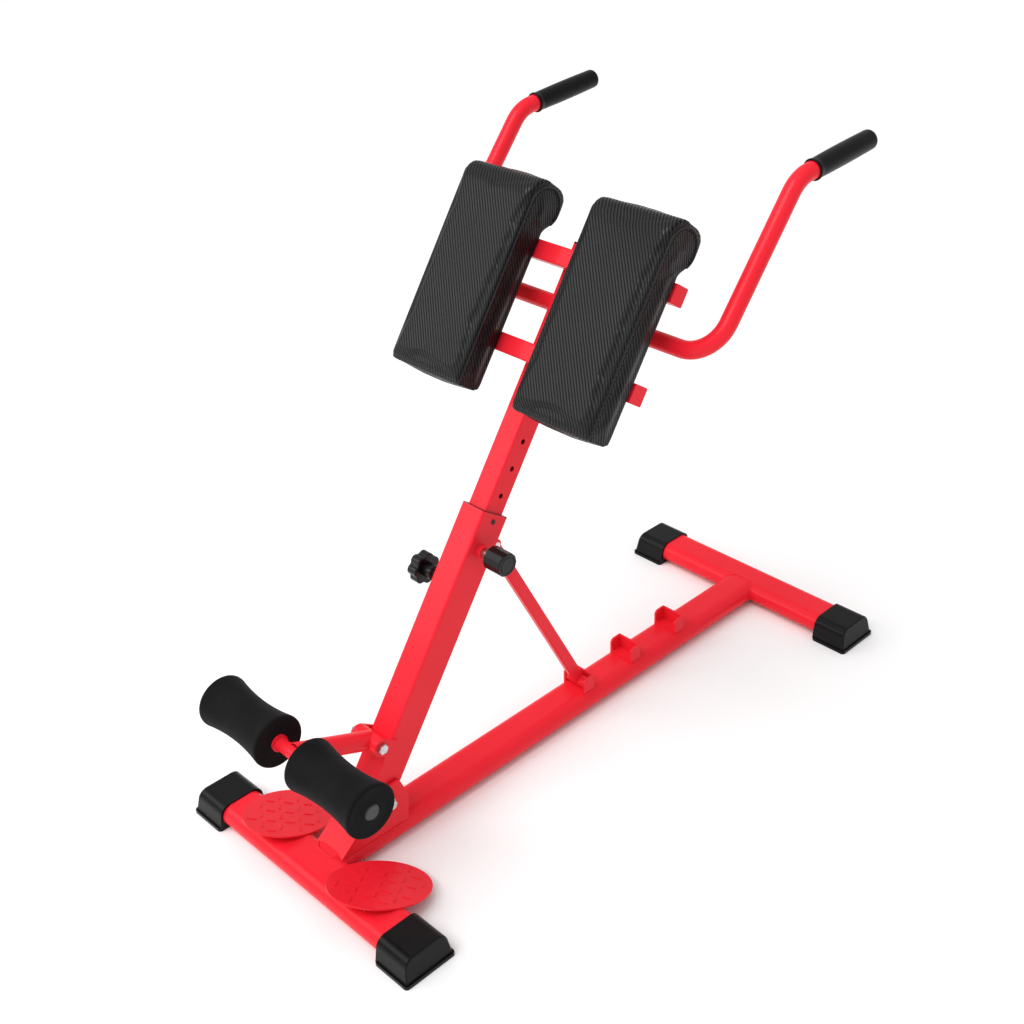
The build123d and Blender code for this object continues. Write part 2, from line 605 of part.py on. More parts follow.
def strut_pin():
    half = STRUT_WIDTH / 2 + STRUT_EAR_GAP + STRUT_EAR
    pin = bar_y(STRUT_PIVOT_N, STRUT_PIVOT_S, -half, half, STRUT_PIN_R)
    for y0, y1 in ((-half - STRUT_PIN_HEAD, -half), (half, half + STRUT_PIN_HEAD)):
        pin += bar_y(STRUT_PIVOT_N, STRUT_PIVOT_S, y0, y1, STRUT_PIN_R * RIVET_HEAD_RATIO)
    return leaning(pin)


def strut_frame():
    """Length of the strut and the plane along it, at its upper pivot."""
    px, pz = post_point(STRUT_PIVOT_N, STRUT_PIVOT_S)
    length = math.hypot(ROD_X - px, ROD_Z - pz)
    turn = math.degrees(math.atan2(ROD_X - px, ROD_Z - pz))
    return length, Pos(px, 0, pz) * Rot(0, turn, 0)


def strut_bar():
    """Flat tube with rounded ends round its pin and its rod."""
    length, frame = strut_frame()
    half_d, half_w = STRUT_DEPTH / 2, STRUT_WIDTH / 2
    section = RectangleRounded(STRUT_DEPTH, STRUT_WIDTH, STRUT_CORNER) - RectangleRounded(
        STRUT_DEPTH - 2 * STRUT_WALL, STRUT_WIDTH - 2 * STRUT_WALL, STRUT_CORNER - STRUT_WALL)
    bar = extrude(section, amount=length)
    eye = bar_y(0, 0, -half_w, half_w, half_d)
    bar = bar - block(-half_d, half_d, -half_w, half_w, -1, STRUT_EYE_FILL) + eye
    bar -= bar_y(0, 0, -half_w - 1, half_w + 1, STRUT_PIN_R + RUNNING_FIT)
    bar -= bar_y(0, length, -half_w - 1, half_w + 1, STRUT_ROD_R)
    return frame * bar


def strut_rod():
    rod = bar_y(ROD_X, ROD_Z, -STRUT_ROD_LENGTH / 2, STRUT_ROD_LENGTH / 2, STRUT_ROD_R)
    return chamfer(rod.faces().filter_by(Axis.Y).edges(), EDGE_BREAK)


# ---------------------------------------------------------------- ankle rollers
def arm_ear(side):
    """Rounded plate on the side of the post, reaching forward to the arm's pivot."""
    face_n = POST_FRONT_N + ARM_EAR_LAP
    y0, y1 = ARM_EAR_IN_Y, ARM_EAR_IN_Y + ARM_EAR_PLATE
    ear = block(ARM_PIVOT_N, face_n, y0, y1, ARM_PIVOT_S - ARM_EAR_R, ARM_PIVOT_S + ARM_EAR_R)
    ear += bar_y(ARM_PIVOT_N, ARM_PIVOT_S, y0, y1, ARM_EAR_R)
    ear -= bar_y(ARM_PIVOT_N, ARM_PIVOT_S, y0 - 1, y1 + 1, PIVOT_BOLT_R + RUNNING_FIT)
    return leaning(ear if side > 0 else mirror(ear, Plane.XZ))


def arm_sleeve():
    x, z = post_point(ARM_PIVOT_N, ARM_PIVOT_S)
    half = ARM_EAR_IN_Y - SIDE_GAP
    return ring_y(x, z, -half, half, ARM_SLEEVE_R, PIVOT_BOLT_R + RUNNING_FIT)


def roller_arm():
    """Round tube from the pivot sleeve to the roller bar, coped at both ends."""
    x, z = post_point(ARM_PIVOT_N, ARM_PIVOT_S)
    length = math.hypot(ROLLER_X - x, ROLLER_Z - z)
    turn = math.degrees(math.atan2(ROLLER_X - x, ROLLER_Z - z))
    tube = extrude(Circle(ARM_R) - Circle(ARM_R - ARM_WALL), amount=length)
    tube = Pos(x, 0, z) * Rot(0, turn, 0) * tube
    tube -= bar_y(x, z, -2 * ARM_R, 2 * ARM_R, ARM_SLEEVE_R + WELD_FIT)
    tube -= bar_y(ROLLER_X, ROLLER_Z, -2 * ARM_R, 2 * ARM_R, ROLLER_BAR_R + WELD_FIT)
    keep = Pos(0, 0, length / 2) * Box(4 * ARM_R, 4 * ARM_R, length - 2 * WELD_FIT)
    keep = Pos(x, 0, z) * Rot(0, turn, 0) * keep
    return largest(tube & keep)


def largest(shape):
    return shape.solids().sort_by(SortBy.VOLUME)[-1]


def roller_bar():
    half = ROLLER_OUTER_Y
    return ring_y(ROLLER_X, ROLLER_Z, -half, half, ROLLER_BAR_R, ROLLER_BAR_R - ROLLER_BAR_WALL)


def roller_stops():
    rings = []
    for y1 in (ROLLER_INNER_Y - CORE_FIT, -ROLLER_INNER_Y + CORE_FIT + STOP_COLLAR_LENGTH):
        rings.append(ring_y(ROLLER_X, ROLLER_Z, y1 - STOP_COLLAR_LENGTH, y1, STOP_COLLAR_R,
                            ROLLER_BAR_R + WELD_FIT))
    return solids_of(*rings)


def roller_plugs():
    """Push-in end plugs that keep the rollers on the bar."""
    plugs = []
    head_y = ROLLER_OUTER_Y + CORE_FIT
    shank_r = ROLLER_BAR_R - ROLLER_BAR_WALL - WELD_FIT
    plug = bar_y(ROLLER_X, ROLLER_Z, head_y, head_y + PLUG_HEAD, PLUG_HEAD_R)
    plug = chamfer(plug.faces().sort_by(Axis.Y)[-1].edges(), EDGE_BREAK)
    plug += bar_y(ROLLER_X, ROLLER_Z, ROLLER_OUTER_Y - PLUG_HEAD_R, head_y, shank_r)
    return solids_of(plug, mirror(plug, Plane.XZ))


def roller_core(side):
    core = ring_y(ROLLER_X, ROLLER_Z, ROLLER_INNER_Y, ROLLER_OUTER_Y, CORE_R, ROLLER_BAR_R + CORE_FIT)
    return core if side > 0 else mirror(core, Plane.XZ)


def roller_foam(side):
    """Waisted foam roller, a body of revolution round the roller bar."""
    y0, y1 = ROLLER_INNER_Y, ROLLER_OUTER_Y
    bore, edge = CORE_R + CORE_FIT, ROLLER_EDGE
    rim, bend = ROLLER_END_R - edge, edge * (1 - math.sqrt(0.5))
    outline = (Line((bore, y0), (rim, y0))
               + ThreePointArc((rim, y0), (ROLLER_END_R - bend, y0 + bend), (ROLLER_END_R, y0 + edge))
               + Spline((ROLLER_END_R, y0 + edge), (ROLLER_WAIST_R, (y0 + y1) / 2), (ROLLER_END_R, y1 - edge))
               + ThreePointArc((ROLLER_END_R, y1 - edge), (ROLLER_END_R - bend, y1 - bend), (rim, y1))
               + Line((rim, y1), (bore, y1)) + Line((bore, y1), (bore, y0)))
    foam = Pos(ROLLER_X, 0, ROLLER_Z) * revolve(make_face(outline), Axis.Y)
    return foam if side > 0 else mirror(foam, Plane.XZ)


# ---------------------------------------------------------------- upper post and head
def bar_blank(s, half_length, inset=0.0):
    size = BAR_SIZE - 2 * inset
    return along_y(RectangleRounded(size, size, BAR_CORNER - inset), -half_length, half_length, BAR_N, s)


def upper_post():
    tube = Pos(POST_N, 0, 0) * box_tube(INNER_DEPTH, INNER_WIDTH, INNER_CORNER, INNER_WALL,
                                        INNER_BOTTOM_S, INNER_TOP_S)
    hole_s = PIN_S - HOLE_PITCH
    while hole_s < BOTTOM_BAR_S - TOP_HOLE_GAP:
        tube -= bar_y(POST_N, hole_s, -POST_WIDTH, 0, HOLE_R)
        hole_s += HOLE_PITCH
    tube -= bar_y(HANDLE_N, HANDLE_S, -POST_WIDTH, POST_WIDTH, HANDLE_R + WELD_FIT)
    return leaning(tube)


def upper_post_cap():
    """Push-in plastic cap in the top of the upper post."""
    fit = INNER_WALL + WELD_FIT
    plug = box_bar(INNER_DEPTH - 2 * fit, INNER_WIDTH - 2 * fit, INNER_CORNER - INNER_WALL,
                   INNER_TOP_S - TOP_CAP_PLUG, INNER_TOP_S)
    head = box_bar(INNER_DEPTH, INNER_WIDTH, INNER_CORNER, INNER_TOP_S, INNER_TOP_S + TOP_CAP_HEAD)
    return leaning(Pos(POST_N, 0, 0) * (plug + head))


def lower_glide():
    """Plastic glide round the lower end of the upper post, running inside the lower post."""
    fit, bottom = POST_WALL + GLIDE_FIT, INNER_BOTTOM_S - GLIDE_FLOOR
    outer = box_bar(POST_DEPTH - 2 * fit, POST_WIDTH - 2 * fit, POST_CORNER - POST_WALL,
                    bottom, INNER_BOTTOM_S + GLIDE_LENGTH)
    hole = box_bar(INNER_DEPTH + 2 * WELD_FIT, INNER_WIDTH + 2 * WELD_FIT, INNER_CORNER,
                   INNER_BOTTOM_S, INNER_BOTTOM_S + GLIDE_LENGTH + 1)
    window = box_bar(INNER_DEPTH - 2 * INNER_WALL - GLIDE_WINDOW, INNER_WIDTH - 2 * INNER_WALL - GLIDE_WINDOW,
                     INNER_CORNER - INNER_WALL, bottom - 1, INNER_BOTTOM_S + 1)
    return leaning(Pos(POST_N, 0, 0) * (outer - hole - window))


def pad_bolt_places():
    """Y of the four pad bolts on a crossbar."""
    spread = PAD_BOLT_SPACING / 2
    return [side * (PAD_MID_Y + offset) for side in SIDES.values() for offset in (-spread, spread)]


def bolt_n(s, y, n0, n1, radius):
    """Cylinder along n, from n0 to n1."""
    return Pos(n0, y, s) * Rot(0, 90, 0) * extrude(Circle(radius), amount=n1 - n0)


def crossbar(s):
    half = BAR_HALF_LENGTH - BAR_WALL
    tube = bar_blank(s, half) - bar_blank(s, half, BAR_WALL)
    for y in pad_bolt_places():
        tube -= bolt_n(s, y, PAD_BACK_N - 1, BAR_BACK_N + 1, PAD_BOLT_R + CAP_FIT)
    return leaning(tube)


def crossbar_ends():
    """Thin plates welded over the open ends of both crossbars."""
    plates = []
    for s in (TOP_BAR_S, BOTTOM_BAR_S):
        plate = along_y(RectangleRounded(BAR_SIZE, BAR_SIZE, BAR_CORNER),
                        BAR_HALF_LENGTH - BAR_WALL, BAR_HALF_LENGTH, BAR_N, s)
        plates += [plate, mirror(plate, Plane.XZ)]
    return leaning(solids_of(*plates))


def handle_points():
    """Centre line corners of one side of the handle, from its middle to its end."""
    x, z = post_point(HANDLE_N, HANDLE_S)
    rise = math.radians(GRIP_RISE)
    reach = GRIP_START + GRIP_LENGTH - GRIP_END - CAP_FIT
    end = (HANDLE_TOP_X + reach * math.cos(rise), HANDLE_HALF_SPAN, HANDLE_TOP_Z + reach * math.sin(rise))
    return [(x, 0, z), (x, HANDLE_HALF_SPAN, z), (HANDLE_TOP_X, HANDLE_HALF_SPAN, HANDLE_TOP_Z), end]


def handle_tube():
    """One bent tube: across behind the pads, up on each side, back to the grips."""
    half = handle_points()
    mirrored = [(x, -y, z) for x, y, z in reversed(half[1:])]
    path = FilletPolyline(*mirrored, *half[1:], radius=HANDLE_BEND_R)
    section = Plane(origin=path @ 0, z_dir=path % 0)
    return sweep(section * (Circle(HANDLE_R) - Circle(HANDLE_R - HANDLE_WALL)), path=path)


def grip(side):
    """Moulded grip: blind sleeve with a rounded closed end."""
    rise = math.radians(GRIP_RISE)
    start = (HANDLE_TOP_X + GRIP_START * math.cos(rise), HANDLE_HALF_SPAN,
             HANDLE_TOP_Z + GRIP_START * math.sin(rise))
    along = Plane(origin=start, x_dir=(0, 1, 0), z_dir=(math.cos(rise), 0, math.sin(rise)))
    sleeve = extrude(Circle(GRIP_R), amount=GRIP_LENGTH)
    sleeve = fillet(sleeve.faces().sort_by(Axis.Z)[-1].edges(), GRIP_END)
    sleeve = chamfer(sleeve.faces().sort_by(Axis.Z)[0].edges(), EDGE_BREAK)
    sleeve -= Pos(0, 0, -1) * extrude(Circle(HANDLE_R + WELD_FIT), amount=GRIP_LENGTH - GRIP_END + 1)
    placed = along.location * sleeve
    return placed if side > 0 else mirror(placed, Plane.XZ)


def pad_board(side):
    """Plywood board behind a pad, resting on both crossbars."""
    y0, y1 = PAD_INNER_Y + BOARD_INSET, PAD_OUTER_Y - BOARD_INSET
    board = block(PAD_BACK_N - BOARD_THICK, PAD_BACK_N, y0, y1, BOARD_BOTTOM_S, BOARD_TOP_S)
    board = fillet(board.edges().filter_by(Axis.X), BOARD_CORNER)
    for s in (TOP_BAR_S, BOTTOM_BAR_S):
        for y in pad_bolt_places():
            board -= bolt_n(s, y, PAD_BACK_N - BOARD_THICK - 1, PAD_BACK_N + 1, TEE_NUT_SHANK_R + WELD_FIT)
    placed = board if side > 0 else mirror(board, Plane.XZ)
    return leaning(placed)


def pad(side):
    """Thick pad with a fat rounded nose rolling back over its top, hollow behind for the board."""
    front = PAD_BACK_N - PAD_THICK
    nose_n = PAD_BACK_N + PAD_NOSE_BACK - PAD_NOSE_R
    top = PAD_NOSE_S + PAD_NOSE_R
    outline = (Line((PAD_BACK_N, PAD_BOTTOM_S), (front, PAD_BOTTOM_S))
               + Line((front, PAD_BOTTOM_S), (front, PAD_NOSE_S))
               + Spline((front, PAD_NOSE_S), (nose_n, top), (nose_n + PAD_NOSE_R, PAD_NOSE_S),
                        tangents=((0, 1), (0, -1)))
               + Spline((nose_n + PAD_NOSE_R, PAD_NOSE_S), (PAD_BACK_N, PAD_TUCK_S),
                        tangents=((0, -1), (-0.35, -1)))
               + Line((PAD_BACK_N, PAD_TUCK_S), (PAD_BACK_N, PAD_BOTTOM_S)))
    body = along_y(make_face(outline), PAD_INNER_Y, PAD_OUTER_Y)
    body = fillet(body.edges().filter_by(Axis.Y).group_by(Axis.Z)[0], PAD_CORNER)
    board = block(PAD_BACK_N - BOARD_THICK - PAD_GAP, PAD_BACK_N + 1, PAD_INNER_Y + BOARD_INSET - PAD_GAP,
                  PAD_OUTER_Y - BOARD_INSET + PAD_GAP, BOARD_BOTTOM_S - PAD_GAP, BOARD_TOP_S + PAD_GAP)
    for s in (TOP_BAR_S, BOTTOM_BAR_S):
        for y in pad_bolt_places():
            board += bolt_n(s, y, PAD_BACK_N - BOARD_THICK - TEE_NUT_FLANGE - 2 * PAD_GAP, PAD_BACK_N,
                            TEE_NUT_R + PAD_GAP)
    body -= board
    placed = body if side > 0 else mirror(body, Plane.XZ)
    return leaning(placed)


def pad_bolts():
    """Hexagon bolts from behind the crossbars into the boards."""
    bolts = []
    for s in (TOP_BAR_S, BOTTOM_BAR_S):
        for y in pad_bolt_places():
            head = Pos(BAR_BACK_N, y, s) * Rot(0, 90, 0) * extrude(
                RegularPolygon(PAD_BOLT_AF / 2, 6, major_radius=False), amount=PAD_BOLT_HEAD)
            bolts.append(head + bolt_n(s, y, PAD_BACK_N - BOARD_THICK + 1, BAR_BACK_N, PAD_BOLT_R))
    return leaning(solids_of(*bolts))


def tee_nuts():
    """Flanged nuts let into the front of the boards."""
    nuts = []
    flange_n = PAD_BACK_N - BOARD_THICK
    for s in (TOP_BAR_S, BOTTOM_BAR_S):
        for y in pad_bolt_places():
            nut = bolt_n(s, y, flange_n - TEE_NUT_FLANGE, flange_n, TEE_NUT_R)
            nut += bolt_n(s, y, flange_n, flange_n + TEE_NUT_SHANK, TEE_NUT_SHANK_R)
            nuts.append(nut - bolt_n(s, y, flange_n - TEE_NUT_FLANGE - 1, flange_n + BOARD_THICK, PAD_BOLT_R))
    return leaning(solids_of(*nuts))


# ---------------------------------------------------------------- write the pieces
def pivot_washers():
    """Plain washers under the bolt head and nut, and thin ones between post and bracket."""
    px, pz = post_point(PIVOT_N, PIVOT_S)
    rings = []
    for inner in (POST_SIDE_Y + SIDE_GAP, BRACKET_OUT_Y):
        ring = ring_y(px, pz, inner, inner + SIDE_WASHER, WASHER_R, PIVOT_BOLT_R + RUNNING_FIT)
        rings += [ring, mirror(ring, Plane.XZ)]
    return solids_of(*rings)


def pieces():
    px, pz = post_point(PIVOT_N, PIVOT_S)
    ax, az = post_point(ARM_PIVOT_N, ARM_PIVOT_S)
    pivot_grip = BRACKET_OUT_Y + SIDE_WASHER
    arm_grip = ARM_EAR_IN_Y + ARM_EAR_PLATE
    yield "front_cross_tube", cross_tube(0, FRONT_HALF_WIDTH)
    yield "rear_cross_tube", cross_tube(BASE_LENGTH, REAR_HALF_WIDTH)
    yield "main_beam", main_beam()
    for end, x, half_width in (("front", 0, FRONT_HALF_WIDTH), ("rear", BASE_LENGTH, REAR_HALF_WIDTH)):
        for name, side in SIDES.items():
            yield f"{end}_{name}_foot_cap", foot_cap(x, half_width, side)
    for name, side in SIDES.items():
        yield f"{name}_foot_plate", foot_plate(side)
    yield "foot_plate_stands", solids_of(*(plate_stand(side) for side in SIDES.values()))
    for index in range(CATCH_COUNT):
        yield f"strut_catch_{index + 1}", catch(index)
    yield "pivot_bracket", pivot_bracket()
    yield "pivot_bolt", hex_bolt(px, pz, pivot_grip, 1)
    yield "pivot_nut", hex_nut(px, pz, pivot_grip)
    yield "pivot_washers", pivot_washers()
    yield "lower_post", lower_post()
    yield "pivot_sleeve", pivot_sleeve()
    yield "post_guide", post_guide()
    yield "guide_rivet", guide_rivet()
    yield "pull_pin_boss", pin_boss()
    yield "pull_pin_barrel", pin_barrel()
    yield "pull_pin_spring", pin_spring()
    yield "pull_pin", pull_pin()
    yield "pull_pin_knob", pull_knob()
    yield "clamp_boss", clamp_boss()
    yield "clamp_screw", clamp_screw()
    yield "clamp_knob", clamp_knob()
    yield "strut_bracket", strut_bracket()
    yield "strut_pin", strut_pin()
    yield "strut_bar", strut_bar()
    yield "strut_rod", strut_rod()
    yield "arm_ears", solids_of(*(arm_ear(side) for side in SIDES.values()))
    yield "arm_bolt", hex_bolt(ax, az, arm_grip, 1)
    yield "arm_nut", hex_nut(ax, az, arm_grip)
    yield "arm_sleeve", arm_sleeve()
    yield "roller_arm", roller_arm()
    yield "roller_bar", roller_bar()
    yield "roller_stops", roller_stops()
    yield "roller_plugs", roller_plugs()
    for name, side in SIDES.items():
        yield f"{name}_roller_core", roller_core(side)
        yield f"{name}_roller_foam", roller_foam(side)
    yield "upper_post", upper_post()
    yield "upper_post_cap", upper_post_cap()
    yield "lower_glide", lower_glide()
    yield "top_crossbar", crossbar(TOP_BAR_S)
    yield "bottom_crossbar", crossbar(BOTTOM_BAR_S)
    yield "crossbar_ends", crossbar_ends()
    yield "handle_tube", handle_tube()
    for name, side in SIDES.items():
        yield f"{name}_grip", grip(side)
        yield f"{name}_pad_board", pad_board(side)
        yield f"{name}_pad", pad(side)
    yield "pad_bolts", pad_bolts()
    yield "tee_nuts", tee_nuts()


os.makedirs("parts", exist_ok=True)
for name, shape in pieces():
    placed = solids_of(Pos(-ORIGIN_X, 0, 0) * shape)
    placed.label = name
    export_step(placed, f"parts/{name}.step")
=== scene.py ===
# %% [markdown]
# # A folding roman chair
# A roman chair is the gym bench that holds the thighs and ankles while the user bends at the hips.
# Its frame, bolts, tubes and rollers were drawn as exact solids and arrive here as a fixed frame.
# This lesson dresses that frame: paint, zinc, rubber and vinyl are procedural materials, and the
# soft pieces (pads, rollers, grips), the seams, the stapled hems and the weld beads are new surfaces.

# %% Open the frame
import bpy
import bmesh
import json
import math
import numpy as np
from mathutils import Matrix, Vector
from mathutils.bvhtree import BVHTree


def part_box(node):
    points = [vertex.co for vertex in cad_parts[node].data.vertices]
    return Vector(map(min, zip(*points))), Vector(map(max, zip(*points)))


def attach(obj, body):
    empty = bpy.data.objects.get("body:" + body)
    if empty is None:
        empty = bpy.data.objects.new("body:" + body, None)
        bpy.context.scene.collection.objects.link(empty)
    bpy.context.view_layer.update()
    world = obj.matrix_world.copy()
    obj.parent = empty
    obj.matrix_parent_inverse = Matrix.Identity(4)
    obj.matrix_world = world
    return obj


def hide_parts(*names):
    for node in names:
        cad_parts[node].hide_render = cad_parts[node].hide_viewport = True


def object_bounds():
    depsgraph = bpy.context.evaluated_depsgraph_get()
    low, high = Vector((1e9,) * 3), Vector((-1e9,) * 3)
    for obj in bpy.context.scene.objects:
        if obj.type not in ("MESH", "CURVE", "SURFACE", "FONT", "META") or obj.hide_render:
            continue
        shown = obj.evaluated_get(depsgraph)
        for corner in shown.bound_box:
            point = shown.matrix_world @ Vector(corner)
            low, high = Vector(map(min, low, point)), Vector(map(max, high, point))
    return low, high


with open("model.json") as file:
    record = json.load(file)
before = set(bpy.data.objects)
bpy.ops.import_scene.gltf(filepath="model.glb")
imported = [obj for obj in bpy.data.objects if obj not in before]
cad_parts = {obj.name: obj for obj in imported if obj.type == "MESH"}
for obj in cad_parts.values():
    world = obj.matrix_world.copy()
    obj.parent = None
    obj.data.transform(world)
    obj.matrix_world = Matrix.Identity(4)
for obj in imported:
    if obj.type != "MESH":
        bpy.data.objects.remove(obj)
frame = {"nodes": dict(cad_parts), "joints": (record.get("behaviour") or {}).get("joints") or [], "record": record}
cad_low, cad_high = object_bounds()
nodes = frame["nodes"]
joints = {joint["name"]: joint for joint in frame["joints"]}
print("frame size in metres:", [round(b - a, 4) for a, b in zip(cad_low, cad_high)])

# %% [markdown]
# The post and the whole head lean back. Pads, crossbars and post are simplest to describe in their
# own directions: `up` along the post, `rear` square to it towards the back, and Y across. The slide
# joint of the telescopic post already holds the direction of `up`, so nothing is typed in twice.

# %% Directions of the leaning head
up = np.array(joints["post_slide"]["axis"], float)
across = np.array([0.0, 1.0, 0.0])
rear = np.cross(across, up)
lean = math.degrees(math.atan2(up[0], up[2]))
print("the post leans", round(lean, 1), "degrees; rear is", rear.round(3))


def vertex_rows(mesh, what="co"):
    """One row for each vertex of a mesh: its place ("co") or the way it faces ("normal")."""
    flat = np.empty(len(mesh.vertices) * 3, np.float32)
    mesh.vertices.foreach_get(what, flat)
    return flat.reshape(-1, 3).astype(float)


def points_of(node):
    """All corner points of a frame node, one row each."""
    return vertex_rows(nodes[node].data)


def span(node, direction):
    """Lowest and highest reach of a node along a direction."""
    reach = points_of(node) @ direction
    return reach.min(), reach.max()


def centre(node):
    """Middle of a node's upright box."""
    low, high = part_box(node)
    return np.array((low + high) / 2)


def leaning(back, high, wide=0.0):
    """A place in the head's own directions: back * rear + high * up + wide * across."""
    return back * rear + high * up + wide * across


# %% [markdown]
# Every new surface here is a grid of points: one parameter runs along it and the other round it.
# `grid_piece` turns such a grid into quads. A closed direction joins its last row to its first, and
# a pole fan closes an open end, so that each piece is a watertight skin with its faces outwards.

# %% Grids of points to meshes
def grid_faces(rows, columns, wrap_rows, wrap_columns, start=0):
    """Quads between neighbouring grid points: (i, j), (i+1, j), (i+1, j+1), (i, j+1)."""
    i = np.arange(rows if wrap_rows else rows - 1)
    j = np.arange(columns if wrap_columns else columns - 1)
    i, j = np.meshgrid(i, j, indexing="ij")
    i2, j2 = (i + 1) % rows, (j + 1) % columns
    quads = np.stack([i * columns + j, i2 * columns + j, i2 * columns + j2, i * columns + j2], -1)
    return quads.reshape(-1, 4) + start


def finish_mesh(name, corners, faces, material, body):
    """Put arrays into a mesh object, turn its faces outwards and let it ride on its body."""
    mesh = bpy.data.meshes.new(name)
    mesh.from_pydata(np.asarray(corners, float).tolist(), [], faces)
    work = bmesh.new()
    work.from_mesh(mesh)
    bmesh.ops.remove_doubles(work, verts=work.verts, dist=1e-7)
    bmesh.ops.recalc_face_normals(work, faces=work.faces)
    work.to_mesh(mesh)
    work.free()
    mesh.polygons.foreach_set("use_smooth", np.ones(len(mesh.polygons), bool))
    piece = bpy.data.objects.new(name, mesh)
    bpy.context.scene.collection.objects.link(piece)
    mesh.materials.append(material)
    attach(piece, body)
    return piece


def grid_arrays(grid, wrap_rows=False, start=0):
    """Points and faces of one grid closed round its columns, with a fan to a pole over open ends."""
    rows, columns = grid.shape[:2]
    corners = grid.reshape(-1, 3)
    faces = grid_faces(rows, columns, wrap_rows, True, start).tolist()
    if not wrap_rows:
        j = np.arange(columns)
        for row, pole in ((0, len(corners)), (rows - 1, len(corners) + 1)):
            ring = row * columns + np.stack([j, (j + 1) % columns], 1) + start
            faces += np.column_stack([ring, np.full(columns, pole + start)]).tolist()
        corners = np.vstack([corners, grid[0].mean(0), grid[-1].mean(0)])
    return corners, faces


def grid_piece(name, grid, material, body, wrap_rows=False):
    """One grid, closed round its columns, as a piece of its own."""
    corners, faces = grid_arrays(grid, wrap_rows)
    return finish_mesh(name, corners, faces, material, body)


def many_pieces(name, grids, material, body, wrap_rows=False):
    """Several separate closed skins in one object, such as stitches or weld beads."""
    corners, faces, count = [], [], 0
    for grid in grids:
        some, quads = grid_arrays(grid, wrap_rows, start=count)
        corners.append(some)
        faces += quads
        count += len(some)
    return finish_mesh(name, np.vstack(corners), faces, material, body)


# %% [markdown]
# Piping, weld beads and grips are all a small section carried along a line. The section stays
# square to the line: at each place one side vector is made by crossing the line's direction with
# a guide vector, and the second by crossing again, all places at once as arrays.

# %% A section carried along a line
def carried(line, guide, radius, sides, closed=False):
    """Grid of points: place(i) + radius(i) * (cos(a) * side(i) + sin(a) * lift(i))."""
    line = np.asarray(line, float)
    ahead = np.roll(line, -1, 0) - np.roll(line, 1, 0) if closed else np.gradient(line, axis=0)
    ahead /= np.linalg.norm(ahead, axis=1, keepdims=True)
    guide = np.broadcast_to(np.asarray(guide, float), line.shape)
    side = np.cross(guide, ahead)
    side /= np.linalg.norm(side, axis=1, keepdims=True)
    lift = np.cross(ahead, side)
    a = np.linspace(0, 2 * math.pi, sides, endpoint=False)
    radius = np.broadcast_to(np.asarray(radius, float).reshape(-1, 1, 1), (len(line), 1, 1))
    ring = np.cos(a)[None, :, None] * side[:, None] + np.sin(a)[None, :, None] * lift[:, None]
    return line[:, None] + radius * ring


def turned(profile, middle, axis, sides):
    """Surface of revolution: middle + along * axis + out * (cos(a) * first + sin(a) * second).

    Each row of the profile is (along, out), and first and second are square to the axis."""
    axis = np.asarray(axis, float)
    first = np.cross(axis, [0.0, 0.0, 1.0] if abs(axis[2]) < 0.9 else [1.0, 0.0, 0.0])
    first /= np.linalg.norm(first)
    second = np.cross(axis, first)
    a = np.linspace(0, 2 * math.pi, sides, endpoint=False)
    round_it = np.cos(a)[:, None] * first + np.sin(a)[:, None] * second
    along, out = np.asarray(profile, float).T
    return np.asarray(middle) + along[:, None, None] * axis + out[:, None, None] * round_it[None]


# %% [markdown]
# ## Finishes
# Two small node groups are shared by nearly all finishes. `fine_grain` gives the fine unevenness of a
# moulded or sprayed surface. `handled` gives large soft patches of slightly different gloss, which is
# what use and wiping leave. A third, `woven_ribs`, gives the raised diagonal ribs of the pads' vinyl.

# %% Node helpers
def node_group(name, inputs, outputs):
    """An empty shader group with float or vector inputs and float or colour outputs."""
    group = bpy.data.node_groups.new(name, "ShaderNodeTree")
    for label, kind, value in inputs:
        socket = group.interface.new_socket(label, in_out="INPUT", socket_type=kind)
        if value is not None:
            socket.default_value = value
    for label, kind in outputs:
        group.interface.new_socket(label, in_out="OUTPUT", socket_type=kind)
    return group, group.nodes.new("NodeGroupInput"), group.nodes.new("NodeGroupOutput")


def noise(tree, vector, scale, detail=3.0, rough=0.5, stretch=None):
    """A noise texture; stretch is an optional Mapping scale that draws it out."""
    node = tree.nodes.new("ShaderNodeTexNoise")
    node.inputs["Scale"].default_value = scale
    node.inputs["Detail"].default_value = detail
    node.inputs["Roughness"].default_value = rough
    if stretch is not None:
        mapping = tree.nodes.new("ShaderNodeMapping")
        mapping.inputs["Scale"].default_value = stretch
        tree.links.new(vector, mapping.inputs["Vector"])
        vector = mapping.outputs["Vector"]
    tree.links.new(vector, node.inputs["Vector"])
    return node.outputs["Fac"]


def maths(tree, operation, a, b=None, c=None):
    """One Math node; a, b and c are sockets or numbers."""
    node = tree.nodes.new("ShaderNodeMath")
    node.operation = operation
    for socket, value in zip(node.inputs, (a, b, c)):
        if value is None:
            continue
        if isinstance(value, (int, float)):
            socket.default_value = value
        else:
            tree.links.new(value, socket)
    return node.outputs[0]


def between(tree, value, from_low, from_high, to_low, to_high):
    """A Map Range node: the first range is stretched onto the second, and held at its ends."""
    node = tree.nodes.new("ShaderNodeMapRange")
    for label, number in (("From Min", from_low), ("From Max", from_high),
                          ("To Min", to_low), ("To Max", to_high)):
        node.inputs[label].default_value = number
    tree.links.new(value, node.inputs["Value"])
    return node.outputs["Result"]


